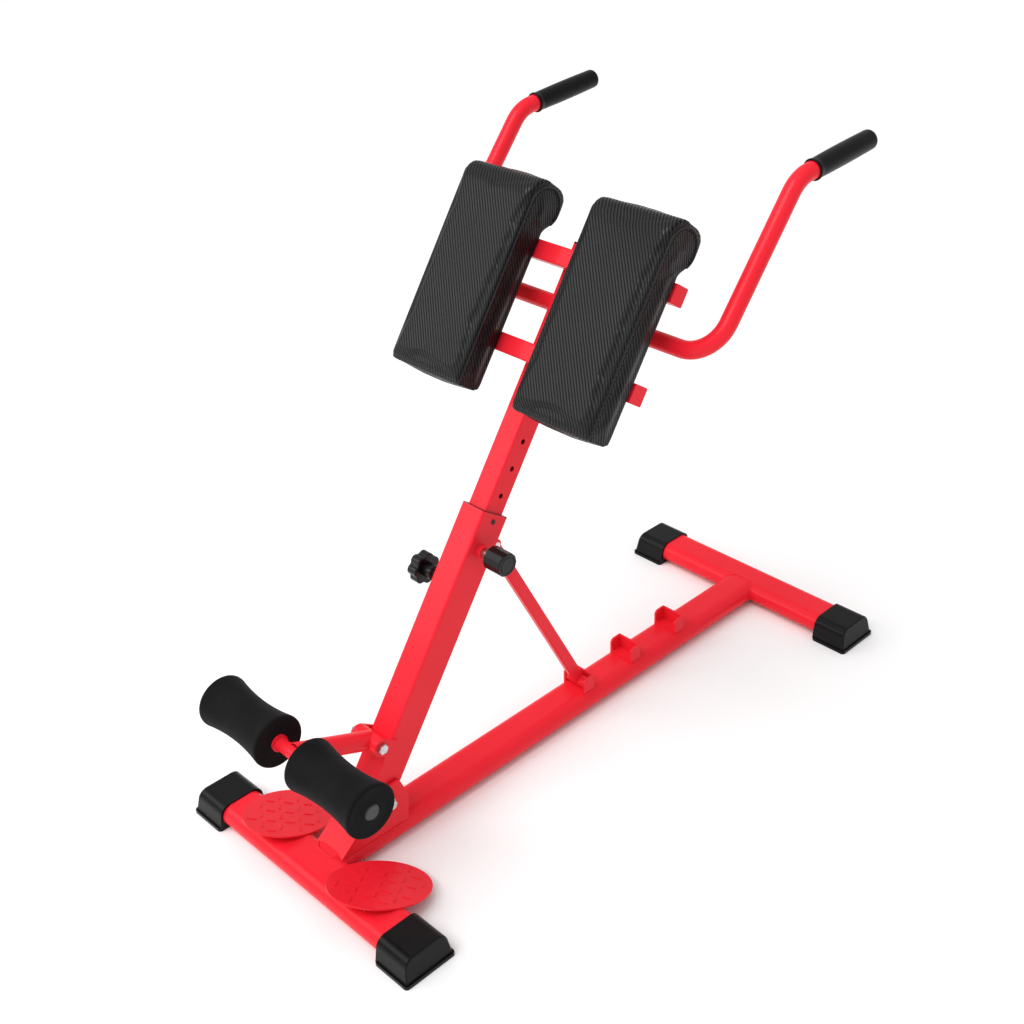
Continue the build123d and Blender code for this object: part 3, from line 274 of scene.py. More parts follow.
def mixed_colour(tree, factor, first, second):
    """The first colour where the factor is 0 and the second where it is 1."""
    node = tree.nodes.new("ShaderNodeMix")
    node.data_type = "RGBA"
    tree.links.new(factor, node.inputs["Factor"])
    for socket, colour in ((node.inputs[6], first), (node.inputs[7], second)):
        if isinstance(colour, tuple):
            socket.default_value = (*colour, 1.0)
        else:
            tree.links.new(colour, socket)
    return node.outputs[2]


def wave(tree, angle):
    """Half + half * sin(angle)."""
    return maths(tree, "MULTIPLY_ADD", maths(tree, "SINE", angle), 0.5, 0.5)


# %% Group: fine grain
def make_fine_grain():
    """Height = noise at Scale plus half as much at three times that scale; Fleck = its bright tips."""
    group, given, out = node_group(
        "fine_grain", [("Place", "NodeSocketVector", None), ("Scale", "NodeSocketFloat", 900.0)],
        [("Height", "NodeSocketFloat"), ("Fleck", "NodeSocketFloat")])
    coarse = noise(group, given.outputs["Place"], 900.0, 2.0)
    group.links.new(given.outputs["Scale"], coarse.node.inputs["Scale"])
    fine = noise(group, given.outputs["Place"], 2700.0, 1.0)
    group.links.new(maths(group, "MULTIPLY", given.outputs["Scale"], 3.0), fine.node.inputs["Scale"])
    height = maths(group, "MULTIPLY_ADD", fine, 0.5, coarse)
    group.links.new(height, out.inputs["Height"])
    group.links.new(between(group, height, 0.85, 1.1, 0.0, 1.0), out.inputs["Fleck"])
    return group


fine_grain = make_fine_grain()


# %% Group: handled patches
def make_handled():
    """Patch = broad soft noise; Rub = the same broken by fine streaks drawn out along one axis."""
    group, given, out = node_group(
        "handled", [("Place", "NodeSocketVector", None), ("Size", "NodeSocketFloat", 7.0)],
        [("Patch", "NodeSocketFloat"), ("Rub", "NodeSocketFloat")])
    broad = noise(group, given.outputs["Place"], 7.0, 3.0, 0.55)
    group.links.new(given.outputs["Size"], broad.node.inputs["Scale"])
    streak = noise(group, given.outputs["Place"], 60.0, 4.0, 0.65, stretch=(0.15, 1.0, 0.15))
    patch = between(group, broad, 0.35, 0.7, 0.0, 1.0)
    group.links.new(patch, out.inputs["Patch"])
    group.links.new(maths(group, "MULTIPLY", patch, between(group, streak, 0.5, 0.72, 0.0, 1.0)),
                    out.inputs["Rub"])
    return group


handled = make_handled()

# %% [markdown]
# The vinyl on this bench is embossed like a twill weave: rounded ribs 5 mm apart run diagonally over
# the pad, and each rib is crossed by much finer threads. A flat picture would slide over a curved pad,
# so the pattern reads a place stored on every vertex: distance across the panel and along it.

# %% Group: woven ribs
RIB_PITCH = 0.005
THREAD_PITCH = 0.0011
RIB_WANDER = 0.0012


def make_woven_ribs():
    """Rib = half + half * sin(2 pi * across-rib distance / pitch); Thread = fine crossing wave."""
    group, given, out = node_group(
        "woven_ribs", [("Panel", "NodeSocketVector", None), ("Pitch", "NodeSocketFloat", RIB_PITCH)],
        [("Rib", "NodeSocketFloat"), ("Thread", "NodeSocketFloat")])
    parts = group.nodes.new("ShaderNodeSeparateXYZ")
    group.links.new(given.outputs["Panel"], parts.inputs[0])
    wobble = noise(group, given.outputs["Panel"], 55.0, 2.0)
    shift = maths(group, "MULTIPLY_ADD", wobble, RIB_WANDER, -RIB_WANDER / 2)
    steps = maths(group, "DIVIDE", maths(group, "ADD", parts.outputs["X"], shift),
                  given.outputs["Pitch"])
    group.links.new(wave(group, maths(group, "MULTIPLY", steps, 2 * math.pi)), out.inputs["Rib"])
    fine = maths(group, "ADD", maths(group, "MULTIPLY", parts.outputs["Y"], 2 * math.pi / THREAD_PITCH),
                 maths(group, "MULTIPLY", steps, math.pi))
    group.links.new(wave(group, fine), out.inputs["Thread"])
    return group


woven_ribs = make_woven_ribs()


# %% A material to start from
def blank_material(name, colour, roughness, metallic=0.0, **constants):
    """Principled shader with its constants set on its own sockets, and object coordinates."""
    material = bpy.data.materials.new(name)
    material.use_nodes = True
    tree = material.node_tree
    shader = tree.nodes["Principled BSDF"]
    shader.inputs["Base Color"].default_value = (*colour, 1.0)
    shader.inputs["Roughness"].default_value = roughness
    shader.inputs["Metallic"].default_value = metallic
    for label, value in constants.items():
        shader.inputs[label.replace("_", " ")].default_value = value
    place = tree.nodes.new("ShaderNodeTexCoord").outputs["Object"]
    return material, tree, shader, place


def use_group(tree, group, **links):
    """A node group placed in a material; each named input takes a socket or a number."""
    node = tree.nodes.new("ShaderNodeGroup")
    node.node_tree = group
    for label, value in links.items():
        if isinstance(value, (int, float)):
            node.inputs[label].default_value = value
        else:
            tree.links.new(value, node.inputs[label])
    return node.outputs


def patches_and_grain(tree, place, size, scale):
    """The two shared groups: broad patches of this size, and a grain of this scale."""
    return (use_group(tree, handled, Place=place, Size=size),
            use_group(tree, fine_grain, Place=place, Scale=scale))


def feed(tree, shader, **sockets):
    """Link each socket to the shader's input of that name."""
    for label, socket in sockets.items():
        tree.links.new(socket, shader.inputs[label.replace("_", " ")])


def bump(tree, shader, height, distance, strength, below=None):
    """A Bump node into the shader's Normal; `below` is the coarser bump that it lies on."""
    node = tree.nodes.new("ShaderNodeBump")
    node.inputs["Distance"].default_value = distance
    node.inputs["Strength"].default_value = strength
    tree.links.new(height, node.inputs["Height"])
    if below is not None:
        tree.links.new(below, node.inputs["Normal"])
    feed(tree, shader, Normal=node.outputs["Normal"])
    return node.outputs["Normal"]


# %% [markdown]
# ## Paint, zinc and moulded parts
# Powder coat is sprayed as dry powder and melted in an oven. It flows into a thick skin with a very
# fine orange-peel ripple and a soft gloss, so the material has a clear coat over a saturated red, a
# ripple in its bump and broad patches where the gloss changes a little.

# %% Red powder coat
RED = (0.86, 0.018, 0.034)
DEEP_RED = (0.76, 0.011, 0.022)


def make_red_paint():
    """Colour and gloss drift with the broad patches; the grain is the orange-peel ripple."""
    material, tree, shader, place = blank_material(
        "red_powder_coat", RED, 0.36, Coat_Roughness=0.12, Specular_IOR_Level=0.1)
    patches, ripple = patches_and_grain(tree, place, 6.0, 420.0)
    gloss = maths(tree, "MULTIPLY_ADD", patches["Rub"], 0.10, 0.33)
    feed(tree, shader,
         Base_Color=mixed_colour(tree, maths(tree, "MULTIPLY", patches["Patch"], 0.35), RED, DEEP_RED),
         Roughness=maths(tree, "MULTIPLY_ADD", ripple["Fleck"], 0.05, gloss),
         Coat_Weight=maths(tree, "MULTIPLY_ADD", patches["Patch"], -0.05, 0.15))
    bump(tree, shader, ripple["Height"], 0.00006, 0.5)
    return material


red_paint = make_red_paint()


# %% [markdown]
# Bolts, nuts and pins are zinc plated: a bright metal whose plating is a little cloudier in small
# patches. One material with metal set to 1 serves them all, because they come from the same bath.

# %% Zinc
def make_zinc():
    """Bright metal, cloudy and rougher where the small patches are high."""
    material, tree, shader, place = blank_material("zinc_plate", (0.62, 0.63, 0.65), 0.3, 1.0)
    patches, grain = patches_and_grain(tree, place, 90.0, 2500.0)
    feed(tree, shader,
         Base_Color=mixed_colour(tree, patches["Patch"], (0.68, 0.69, 0.70), (0.50, 0.51, 0.54)),
         Roughness=maths(tree, "MULTIPLY_ADD", patches["Rub"], 0.18, 0.24))
    bump(tree, shader, grain["Height"], 0.00002, 0.4)
    return material


zinc = make_zinc()

# %% [markdown]
# End caps, grips, knobs, plugs and piping are moulded rubber or plastic. They differ only in how dark,
# glossy and coarse they are, so one function makes each from those values. A moulded black is never
# quite even: soft patches lighten it, and a fine grain breaks its shine.

# %% Moulded rubber and plastic
def bluish(level, blue=0.0003):
    """A grey of this level with a little more blue in it."""
    return level, level, level + blue


def make_moulded(name, light, dark, roughness, grain_scale, depth, patch_size=14.0, **constants):
    """Moulded rubber or plastic: fine grain, uneven bloom and slightly uneven gloss."""
    material, tree, shader, place = blank_material(name, light, roughness, **constants)
    patches, grain = patches_and_grain(tree, place, patch_size, grain_scale)
    uneven = maths(tree, "MULTIPLY_ADD", patches["Patch"], 0.10, roughness - 0.06)
    feed(tree, shader, Base_Color=mixed_colour(tree, patches["Patch"], dark, light),
         Roughness=maths(tree, "MULTIPLY_ADD", grain["Fleck"], 0.06, uneven))
    bump(tree, shader, grain["Height"], depth, 0.6)
    return material


cap_rubber = make_moulded("cap_rubber", bluish(0.005), bluish(0.0026), 0.30, 1400.0, 0.00008,
                          Specular_IOR_Level=0.16)
grip_rubber = make_moulded("grip_rubber", bluish(0.004), bluish(0.0022), 0.36, 1800.0, 0.0001,
                           Specular_IOR_Level=0.14)
black_plastic = make_moulded("black_plastic", bluish(0.005), bluish(0.0025), 0.32, 1100.0, 0.00006,
                             Specular_IOR_Level=0.3)
grey_plastic = make_moulded("grey_plastic", bluish(0.055, 0.002), bluish(0.038, 0.002), 0.42, 1100.0,
                            0.00006, Specular_IOR_Level=0.35)

# %% [markdown]
# The ankle rollers are closed-cell foam with a tight knitted-looking skin. Up close it is matt with
# fine pores and a soft nap that lights up at glancing angles, which is what sheen gives.

# %% Foam
def make_foam():
    """Matt black; pores = distance to the nearest cell middle, which also lifts the bump."""
    material, tree, shader, place = blank_material(
        "roller_foam", (0.004, 0.004, 0.0042), 0.82, Sheen_Weight=0.02, Sheen_Roughness=0.5,
        Specular_IOR_Level=0.12)
    patches, grain = patches_and_grain(tree, place, 22.0, 620.0)
    cells = tree.nodes.new("ShaderNodeTexVoronoi")
    cells.inputs["Scale"].default_value = 850.0
    tree.links.new(place, cells.inputs["Vector"])
    pore = between(tree, cells.outputs["Distance"], 0.0, 0.45, 0.0, 1.0)
    feed(tree, shader, Roughness=maths(tree, "MULTIPLY_ADD", pore, -0.12, 0.9),
         Base_Color=mixed_colour(tree, patches["Patch"], bluish(0.0028, 0.0002), bluish(0.006)))
    bump(tree, shader, maths(tree, "ADD", pore, grain["Height"]), 0.00022, 0.7)
    return material


foam = make_foam()

# %% [markdown]
# The pad's vinyl has three scales of detail: the ribs, the fine threads across them, and soft creases
# that gather near the seams where the sheet is pulled in. The creases are a stretched noise which a
# value stored on the vertices, 1 at a seam and 0 further away, lets through.

# %% Vinyl
def make_vinyl():
    """Colour follows the rib's crest as painted highlight on the crests and painted shade in the valleys; gloss
    and coat follow the crest too; bump = creases, with ribs and threads over them.
    """
    material, tree, shader, place = blank_material(
        "ribbed_vinyl", (0.01, 0.01, 0.0105), 0.32, Coat_Roughness=0.16, Specular_IOR_Level=0.14)
    panel = tree.nodes.new("ShaderNodeAttribute")
    panel.attribute_name = "panel"
    near = tree.nodes.new("ShaderNodeAttribute")
    near.attribute_name = "near_seam"
    ribs = use_group(tree, woven_ribs, Panel=panel.outputs["Vector"])
    patches, grain = patches_and_grain(tree, place, 9.0, 1500.0)
    crest = between(tree, ribs["Rib"], 0.25, 0.85, 0.0, 1.0)
    # painted highlight and painted shade: the vinyl is one black, but its crests are painted lighter and the
    # valleys between ribs darker
    painted_rib_light = mixed_colour(tree, crest, bluish(0.0015, 0.0002), bluish(0.015, 0.0005))
    tone = mixed_colour(tree, maths(tree, "MULTIPLY", patches["Patch"], 0.35), painted_rib_light,
                        bluish(0.003, 0.0002))
    rough = maths(tree, "MULTIPLY_ADD", crest, -0.16, 0.46)
    feed(tree, shader, Base_Color=tone, Coat_Weight=maths(tree, "MULTIPLY", crest, 0.28),
         Roughness=maths(tree, "MULTIPLY_ADD", grain["Fleck"], 0.07, rough))
    crease = noise(tree, place, 38.0, 3.0, 0.5, stretch=(1.0, 2.6, 1.0))
    gathered = maths(tree, "MULTIPLY", crease, near.outputs["Fac"])
    low = bump(tree, shader, gathered, 0.004, 0.7)
    weave = maths(tree, "MULTIPLY_ADD", ribs["Thread"], 0.18, ribs["Rib"])
    bump(tree, shader, weave, 0.00055, 0.8, below=low)
    return material


vinyl = make_vinyl()
# piping_vinyl is painted lighter than the pad's vinyl, as a painted highlight along the welt; the hems behind the
# boards take the same colour
piping_vinyl = make_moulded("piping_vinyl", bluish(0.016, 0.0005), bluish(0.008, 0.0005), 0.34, 1500.0,
                            0.00008, Specular_IOR_Level=0.28)
thread = make_moulded("stitch_thread", bluish(0.020, 0.001), bluish(0.010, 0.001), 0.62, 3000.0,
                      0.0001, 120.0, Specular_IOR_Level=0.3)

# %% [markdown]
# Behind each pad is a plywood board. Its face shows long grain along the pad, and its sawn edges show
# the plies as thin light and dark layers. The object coordinates are first turned by the post's lean,
# so that one of them runs through the board's thickness and its bands can be the plies.

# %% Plywood
PLY = 0.0048


def make_plywood():
    """Grain = noise drawn out along the board; plies = bands through its thickness."""
    material, tree, shader, place = blank_material("plywood", (0.42, 0.29, 0.16), 0.7)
    turn = tree.nodes.new("ShaderNodeMapping")
    turn.inputs["Rotation"].default_value = (0.0, math.radians(-lean), 0.0)
    tree.links.new(place, turn.inputs["Vector"])
    level = turn.outputs["Vector"]
    grain = noise(tree, level, 26.0, 6.0, 0.62, stretch=(1.0, 5.0, 0.22))
    parts = tree.nodes.new("ShaderNodeSeparateXYZ")
    tree.links.new(level, parts.inputs[0])
    ply = wave(tree, maths(tree, "MULTIPLY", parts.outputs["X"], 2 * math.pi / PLY))
    face = mixed_colour(tree, between(tree, grain, 0.35, 0.65, 0.0, 1.0),
                        (0.50, 0.36, 0.21), (0.31, 0.20, 0.10))
    tone = mixed_colour(tree, maths(tree, "MULTIPLY", ply, 0.25), face, (0.20, 0.12, 0.06))
    feed(tree, shader, Base_Color=tone, Roughness=maths(tree, "MULTIPLY_ADD", grain, 0.2, 0.6))
    bump(tree, shader, grain, 0.0004, 0.5)
    return material


plywood = make_plywood()
print("finishes made:", len(bpy.data.materials))

# %% [markdown]
# Every frame node that stays visible takes the finish its record names, by that name, so that a
# repainted part keeps its bolts zinc and its caps rubber.

# %% Finish the frame nodes
finish_of = {"red_paint": red_paint, "zinc": zinc, "cap_rubber": cap_rubber, "foam": foam,
             "grip_rubber": grip_rubber, "vinyl": vinyl, "board": plywood,
             "black_plastic": black_plastic, "grey_plastic": grey_plastic}
for part in frame["record"]["subparts"]:
    node = nodes[part["node"]]
    node.data.materials.clear()
    node.data.materials.append(finish_of[part["material_slot"]])
print("frame nodes finished:", len(nodes))

# %% [markdown]
# ## Pads
# A bench pad is a foam block on a board, wrapped in vinyl: one long panel runs over the front and
# round the nose, two side panels close it, and all are sewn and then stapled behind. Blowing the
# sheet up gently from inside with a cloth simulation gives the crowned faces and soft edges that
# stuffed vinyl has. It starts from the frame's own plain pad, remeshed evenly and with its sharp
# edges relaxed, and the back, which is stapled to the board, is pinned.

# %% Measures of a pad
PAD_VOXEL = 0.004       # size of the even mesh's quads
EDGE_ROUNDS = 9         # rounds of smoothing that relax its edges
PUFF_FRAMES = 20        # cloth steps under pressure
PUFF_LIMIT = 0.0045     # furthest that the sheet may rise
BACK_HELD = 0.016       # depth behind which the sheet is held,
HELD_FADE = 0.006       # and the depth over which the hold sets in
NOSE_FREE = 0.004       # the hold ends this far above the board,
NOSE_FADE = 0.010       # and fades out over this height
PINNED = 0.3            # held share from which the cloth is pinned
pad_front, pad_back = span("left_pad", rear)[0], span("left_pad_board", rear)[1]
pad_low, pad_high = span("left_pad", up)
print("pad depth", round(pad_back - pad_front, 4), "pad length", round(pad_high - pad_low, 4))


# %% Even mesh of a frame node
def evaluated_mesh(piece):
    """The piece's mesh with its modifiers applied."""
    bpy.context.view_layer.update()
    graph = bpy.context.evaluated_depsgraph_get()
    return bpy.data.meshes.new_from_object(piece.evaluated_get(graph))


def relaxed_copy(node, name):
    """Closed even mesh of the node, with its free edges rounded by repeated smoothing.

    The voxels are cut square to the pad: the mesh is turned upright, remeshed and turned back."""
    mesh = nodes[node].data.copy()
    upright = Matrix((rear, across, up)).to_4x4()
    mesh.transform(upright)
    work = bmesh.new()
    work.from_mesh(mesh)
    bmesh.ops.remove_doubles(work, verts=work.verts, dist=1e-6)
    work.to_mesh(mesh)
    work.free()
    piece = bpy.data.objects.new(name, mesh)
    bpy.context.scene.collection.objects.link(piece)
    remesh = piece.modifiers.new("even", "REMESH")
    remesh.mode = "VOXEL"
    remesh.voxel_size = PAD_VOXEL
    mesh = evaluated_mesh(piece)
    mesh.transform(upright.transposed())
    piece.modifiers.clear()
    piece.data = mesh
    hold = held_share(vertex_rows(mesh)).round(1)
    group = piece.vertex_groups.new(name="free")
    for level in np.unique(hold):
        chosen = np.flatnonzero(hold == level)
        group.add(chosen.tolist(), float(1.0 - level), "REPLACE")
    smooth = piece.modifiers.new("round", "SMOOTH")
    smooth.factor = 0.5
    smooth.iterations = EDGE_ROUNDS
    smooth.vertex_group = "free"
    mesh = evaluated_mesh(piece)
    piece.modifiers.clear()
    piece.data = mesh
    return piece


def held_share(points):
    """1 on the back that the board holds, fading to 0 in front of it and on the nose."""
    depth = points @ rear
    height = points @ up
    on_back = np.clip((depth - (pad_back - BACK_HELD)) / HELD_FADE, 0, 1)
    below_nose = np.clip((span("left_pad_board", up)[1] + NOSE_FREE - height) / NOSE_FADE, 0, 1)
    return on_back * below_nose


# %% [markdown]
# The cloth's pin group holds the stapled back fully. Pressure pushes the rest outwards. Afterwards
# only outward moves are kept, up to a limit, so the pad's edges stay where the seams hold them.

# %% Blow up a pad
def puffed(piece):
    """Pressurised cloth from the relaxed mesh: new = old + normal * clip(move . normal, 0, limit)."""
    start, normals = vertex_rows(piece.data), vertex_rows(piece.data, "normal")
    pins = piece.vertex_groups.new(name="stapled")
    pins.add(np.flatnonzero(held_share(start) > PINNED).tolist(), 1.0, "REPLACE")
    cloth = piece.modifiers.new("puff", "CLOTH")
    cloth.settings.quality = 6
    cloth.settings.mass = 0.25
    cloth.settings.tension_stiffness = 20.0
    cloth.settings.compression_stiffness = 20.0
    cloth.settings.shear_stiffness = 8.0
    cloth.settings.bending_stiffness = 1.5
    cloth.settings.use_pressure = True
    cloth.settings.uniform_pressure_force = 4.0
    cloth.settings.effector_weights.gravity = 0.0
    cloth.settings.vertex_group_mass = "stapled"
    cloth.collision_settings.use_collision = False
    cloth.point_cache.frame_start = 1
    cloth.point_cache.frame_end = PUFF_FRAMES
    for step in range(1, PUFF_FRAMES + 1):
        bpy.context.scene.frame_set(step)
    blown = vertex_rows(evaluated_mesh(piece))
    piece.modifiers.clear()
    bpy.context.scene.frame_set(1)
    lift = ((blown - start) * normals).sum(1)
    kept = np.clip(lift, 0.0, PUFF_LIMIT)
    piece.data.vertices.foreach_set("co", (start + kept[:, None] * normals).astype(np.float32).ravel())
    print(piece.name, len(start), "points; cloth moved", (lift.min() * 1000).round(1), "to",
          (lift.max() * 1000).round(1), "mm; mean kept", (kept.mean() * 1000).round(2))


# %% [markdown]
# The seam joins the front panel to the side panels. It starts at the end of the nose, follows the
# nose and the front edge down one side, crosses under the pad and goes up the other side. It is
# worked out as a line round the plain pad and then dropped onto the finished one, because a seam lies
# on the sheet wherever the foam pushes it.

# %% Seam line
SEAM_BACK = 0.008       # from the front edge to the seam
SEAM_STEPS = 620        # points along the seam
SEAM_CORNER = 0.016     # radius where the seam turns under the pad
NOSE_HEIGHT = 0.075     # top length of the pad that is all nose
NOSE_END = -0.62        # angle at which the nose meets the board
AIM_FROM = 0.05         # a ray starts this far outside the pad


def side_profile(inset):
    """Front line, then nose = middle + (radius - inset) * (cos, sin): rows of (rear, up)."""
    points = points_of("left_pad")
    flat = np.stack([points @ rear, points @ up], 1)
    nose = flat[flat[:, 1] > pad_high - NOSE_HEIGHT]
    wide = nose[:, 0].max() - nose[:, 0].min()
    middle = (nose[:, 0].min() + nose[:, 0].max()) / 2, pad_high - wide / 2
    turn = np.linspace(math.pi, NOSE_END, 110)
    round_it = np.stack([np.cos(turn), np.sin(turn)], 1)
    rise = np.linspace(pad_low, middle[1], 180)[:-1]
    run = np.stack([np.full_like(rise, pad_front + inset), rise], 1)
    return np.vstack([run, np.array(middle) + (wide / 2 - inset) * round_it])


def far_along(line):
    """Distance from the start of a line to each of its points."""
    return np.concatenate([[0], np.cumsum(np.linalg.norm(np.diff(line, axis=0), axis=1))])


def read_off(rows, far, wanted):
    """The rows' values at the wanted distances, straight between the distances they belong to."""
    return np.stack([np.interp(wanted, far, column) for column in rows.T], 1)


def evenly(line, count):
    """The same line with equal steps along it."""
    far = far_along(line)
    return read_off(line, far, np.linspace(0, far[-1], count))


def seam_round(tree, low_y, high_y, inset):
    """Side, corner, foot, corner, side: each place is dropped inwards onto the surface in the tree."""
    profile = side_profile(inset)
    flank = profile[profile[:, 1] > pad_low + SEAM_CORNER]
    outside = leaning(flank[:, :1], flank[:, 1:])
    turn = np.linspace(0, 0.5 * math.pi, 12)[1:-1, None]
    foot = leaning(pad_front + inset, pad_low + SEAM_CORNER)
    y = np.linspace(low_y + SEAM_CORNER, high_y - SEAM_CORNER, 60)[:, None]
    lines = [(outside[::-1] + low_y * across, across),
             (foot + (low_y + SEAM_CORNER) * across, np.cos(turn) * across + np.sin(turn) * up),
             (foot - SEAM_CORNER * up + y * across, up),
             (foot + (high_y - SEAM_CORNER) * across, -np.sin(turn) * across + np.cos(turn) * up),
             (outside + high_y * across, -across)]
    found = []
    for places, inwards in lines:
        places, inwards = np.broadcast_arrays(places, inwards)
        for place, aim in zip(places, inwards):
            hit = tree.ray_cast(Vector(place - AIM_FROM * aim), Vector(aim))[0]
            found.append((*hit, *-aim))
    found = np.array(found)
    far = far_along(found[:, :3])
    found = read_off(found, far, np.linspace(0, far[-1], SEAM_STEPS))
    line, outwards = found[:, :3], found[:, 3:]
    return line, outwards / np.linalg.norm(outwards, axis=1, keepdims=True)


# %% [markdown]
# The panel coordinates tell the vinyl where its ribs run. The front panel, up to the seam, is one
# strip, so a place on it is (how far across, how far along the profile). On the side panels it is
# (how far back, how far up). The ribs cross both at the same slant.

# %% Panel coordinates
RIB_SLANT = math.radians(35.0)
SOLE_FACES = -0.7       # a point whose normal runs this far down the post is under the pad
CREASE_REACH = 0.012    # creases fade out this far from the seam


def store(mesh, name, kind, values):
    """Keep one number, or three, for each vertex under a name that materials can read."""
    attribute = mesh.attributes.new(name, kind, "POINT")
    label = "vector" if kind == "FLOAT_VECTOR" else "value"
    attribute.data.foreach_set(label, np.asarray(values, np.float32).ravel())


def mark_panels(piece, middle_y, seam):
    """panel = the sheet's own (across ribs, along ribs); near_seam = exp(-(distance / reach)^2)."""
    mesh = piece.data
    sole = vertex_rows(mesh, "normal") @ up < SOLE_FACES
    places = vertex_rows(mesh)
    flat = np.stack([places @ rear, places @ up], 1)
    out = places[:, 1] - middle_y
    profile = side_profile(0.0)
    far = far_along(profile)
    nearest = np.argmin(((flat[:, None] - profile[None, ::3]) ** 2).sum(2), axis=1) * 3
    ahead = profile[np.minimum(nearest + 1, len(profile) - 1)] - profile[np.maximum(nearest - 1, 0)]
    ahead /= np.linalg.norm(ahead, axis=1, keepdims=True)
    gap = flat - profile[nearest]
    along = far[nearest] + (gap * ahead).sum(1)
    inside = np.clip(gap[:, 0] * ahead[:, 1] - gap[:, 1] * ahead[:, 0], 0, None)
    is_side = inside > SEAM_BACK
    first = np.where(is_side, flat[:, 0], -out - np.sign(out) * inside)
    second = np.where(is_side, np.where(sole, places[:, 1], flat[:, 1]), along)
    rib = first * math.cos(RIB_SLANT) + second * math.sin(RIB_SLANT)
    run = second * math.cos(RIB_SLANT) - first * math.sin(RIB_SLANT)
    store(mesh, "panel", "FLOAT_VECTOR", np.stack([rib, run, np.zeros_like(rib)], 1))
    away = np.sqrt(((places[:, None] - seam[None, ::4]) ** 2).sum(2).min(1))
    store(mesh, "near_seam", "FLOAT", np.exp(-(away / CREASE_REACH) ** 2))


# %% Make both pads
def surface_tree(piece):
    """The finished surface, ready for rays to be cast at it."""
    return BVHTree.FromObject(piece, bpy.context.evaluated_depsgraph_get())


pad_parts = {}
for label in ("left", "right"):
    pad = relaxed_copy(f"{label}_pad", f"{label}_pad_cover")
    puffed(pad)
    low_y, high_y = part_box(f"{label}_pad")[0][1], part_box(f"{label}_pad")[1][1]
    bpy.context.view_layer.update()
    seam = seam_round(surface_tree(pad), low_y, high_y, SEAM_BACK)[0]
    mark_panels(pad, (low_y + high_y) / 2, seam)
    pad.data.materials.clear()
    pad.data.materials.append(vinyl)
    pad.data.polygons.foreach_set("use_smooth", np.ones(len(pad.data.polygons), bool))
    finer = pad.modifiers.new("finer", "SUBSURF")
    finer.levels = finer.render_levels = 1
    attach(pad, "upper_post")
    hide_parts(f"{label}_pad")
    pad_parts[label] = (pad, low_y, high_y)
    print(pad.name, "faces", len(pad.data.polygons))

# %% [markdown]
# The seam itself is a thin welt sewn between the panels, half sunk in the pad, with one row of
# stitches beside it on the side panel. Each stitch is a short thread: thick in the middle, diving
# into the sheet at both ends.

# %% Welts and stitches
WELT_R = 0.0019
WELT_SUNK = 0.0002
STITCH_STEP = 0.0062
STITCH_LENGTH = 0.0042
STITCH_R = 0.0002       # thread radius where it dives into the sheet,
STITCH_SWELL = 0.00038  # and how much thicker it is halfway
STITCH_RISE = 0.0005
STITCH_INSET = 0.0042   # from the welt to the row of stitches
ROW_END = 0.006         # no stitch starts closer than this to the row's ends


def stitch_row(line, out):
    """Threads along a line; each one's radius and rise follow the half sine of its length."""
    far = far_along(line)
    both = np.hstack([line, out])
    t = np.linspace(0.0, 1.0, 5)
    swell = np.sin(math.pi * t)
    grids = []
    for start in np.arange(ROW_END, far[-1] - ROW_END, STITCH_STEP):
        at = read_off(both, far, start + t * STITCH_LENGTH)
        lift = at[:, 3:] / np.linalg.norm(at[:, 3:], axis=1, keepdims=True)
        rise = (STITCH_R + STITCH_RISE * swell)[:, None]
        grids.append(carried(at[:, :3] + lift * rise, lift, STITCH_R + STITCH_SWELL * swell, 5))
    return grids


for label, (pad, low_y, high_y) in pad_parts.items():
    tree = surface_tree(pad)
    line, out = seam_round(tree, low_y, high_y, SEAM_BACK)
    grid_piece(f"{label}_pad_welt", carried(line - out * WELT_SUNK, out, WELT_R, 10), piping_vinyl,
               "upper_post")
    beside, out = seam_round(tree, low_y, high_y, SEAM_BACK + STITCH_INSET)
    many_pieces(f"{label}_pad_stitches", stitch_row(beside, out), thread, "upper_post")
print("seam length", round(float(far_along(line)[-1]), 3))

# %% [markdown]
# On the back of the board the vinyl is folded over, pulled tight and stapled. The fold is a flat
# band whose inner edge wanders a little, because it is cut by hand, and a staple sits about every
# 30 mm. Where the crossbars clamp the board there are no staples.

# %% Folded hem and staples
HEM_WIDTH = 0.030
HEM_RISE = 0.0007
HEM_PAST_SIDE, HEM_PAST_FOOT, HEM_SHORT_HEAD = 0.007, 0.016, 0.004   # from the board's outline
HEM_CORNER = 0.014
STAPLE_STEP = 0.030
STAPLE_LENGTH = 0.0095
STAPLE_R = 0.00055
STAPLE_LOOP = 0.0006    # height of a staple's flat back over the hem
BAR_CLEAR = 0.024       # no staple closer than this to a crossbar's middle
ROW_START = 0.010


def rounded_outline(y0, y1, s0, s1, radius, count):
    """Evenly spaced closed line: a rectangle with round corners, as rows of (y, up)."""
    corners = [(y1 - radius, s1 - radius, 0.0), (y0 + radius, s1 - radius, 0.5 * math.pi),
               (y0 + radius, s0 + radius, math.pi), (y1 - radius, s0 + radius, 1.5 * math.pi)]
    a = np.linspace(0, 0.5 * math.pi, 9)
    line = np.vstack([np.stack([y + radius * np.cos(a + turn), s + radius * np.sin(a + turn)], 1)
                      for y, s, turn in corners])
    return evenly(np.vstack([line, line[:1]]), count + 1)[:-1]


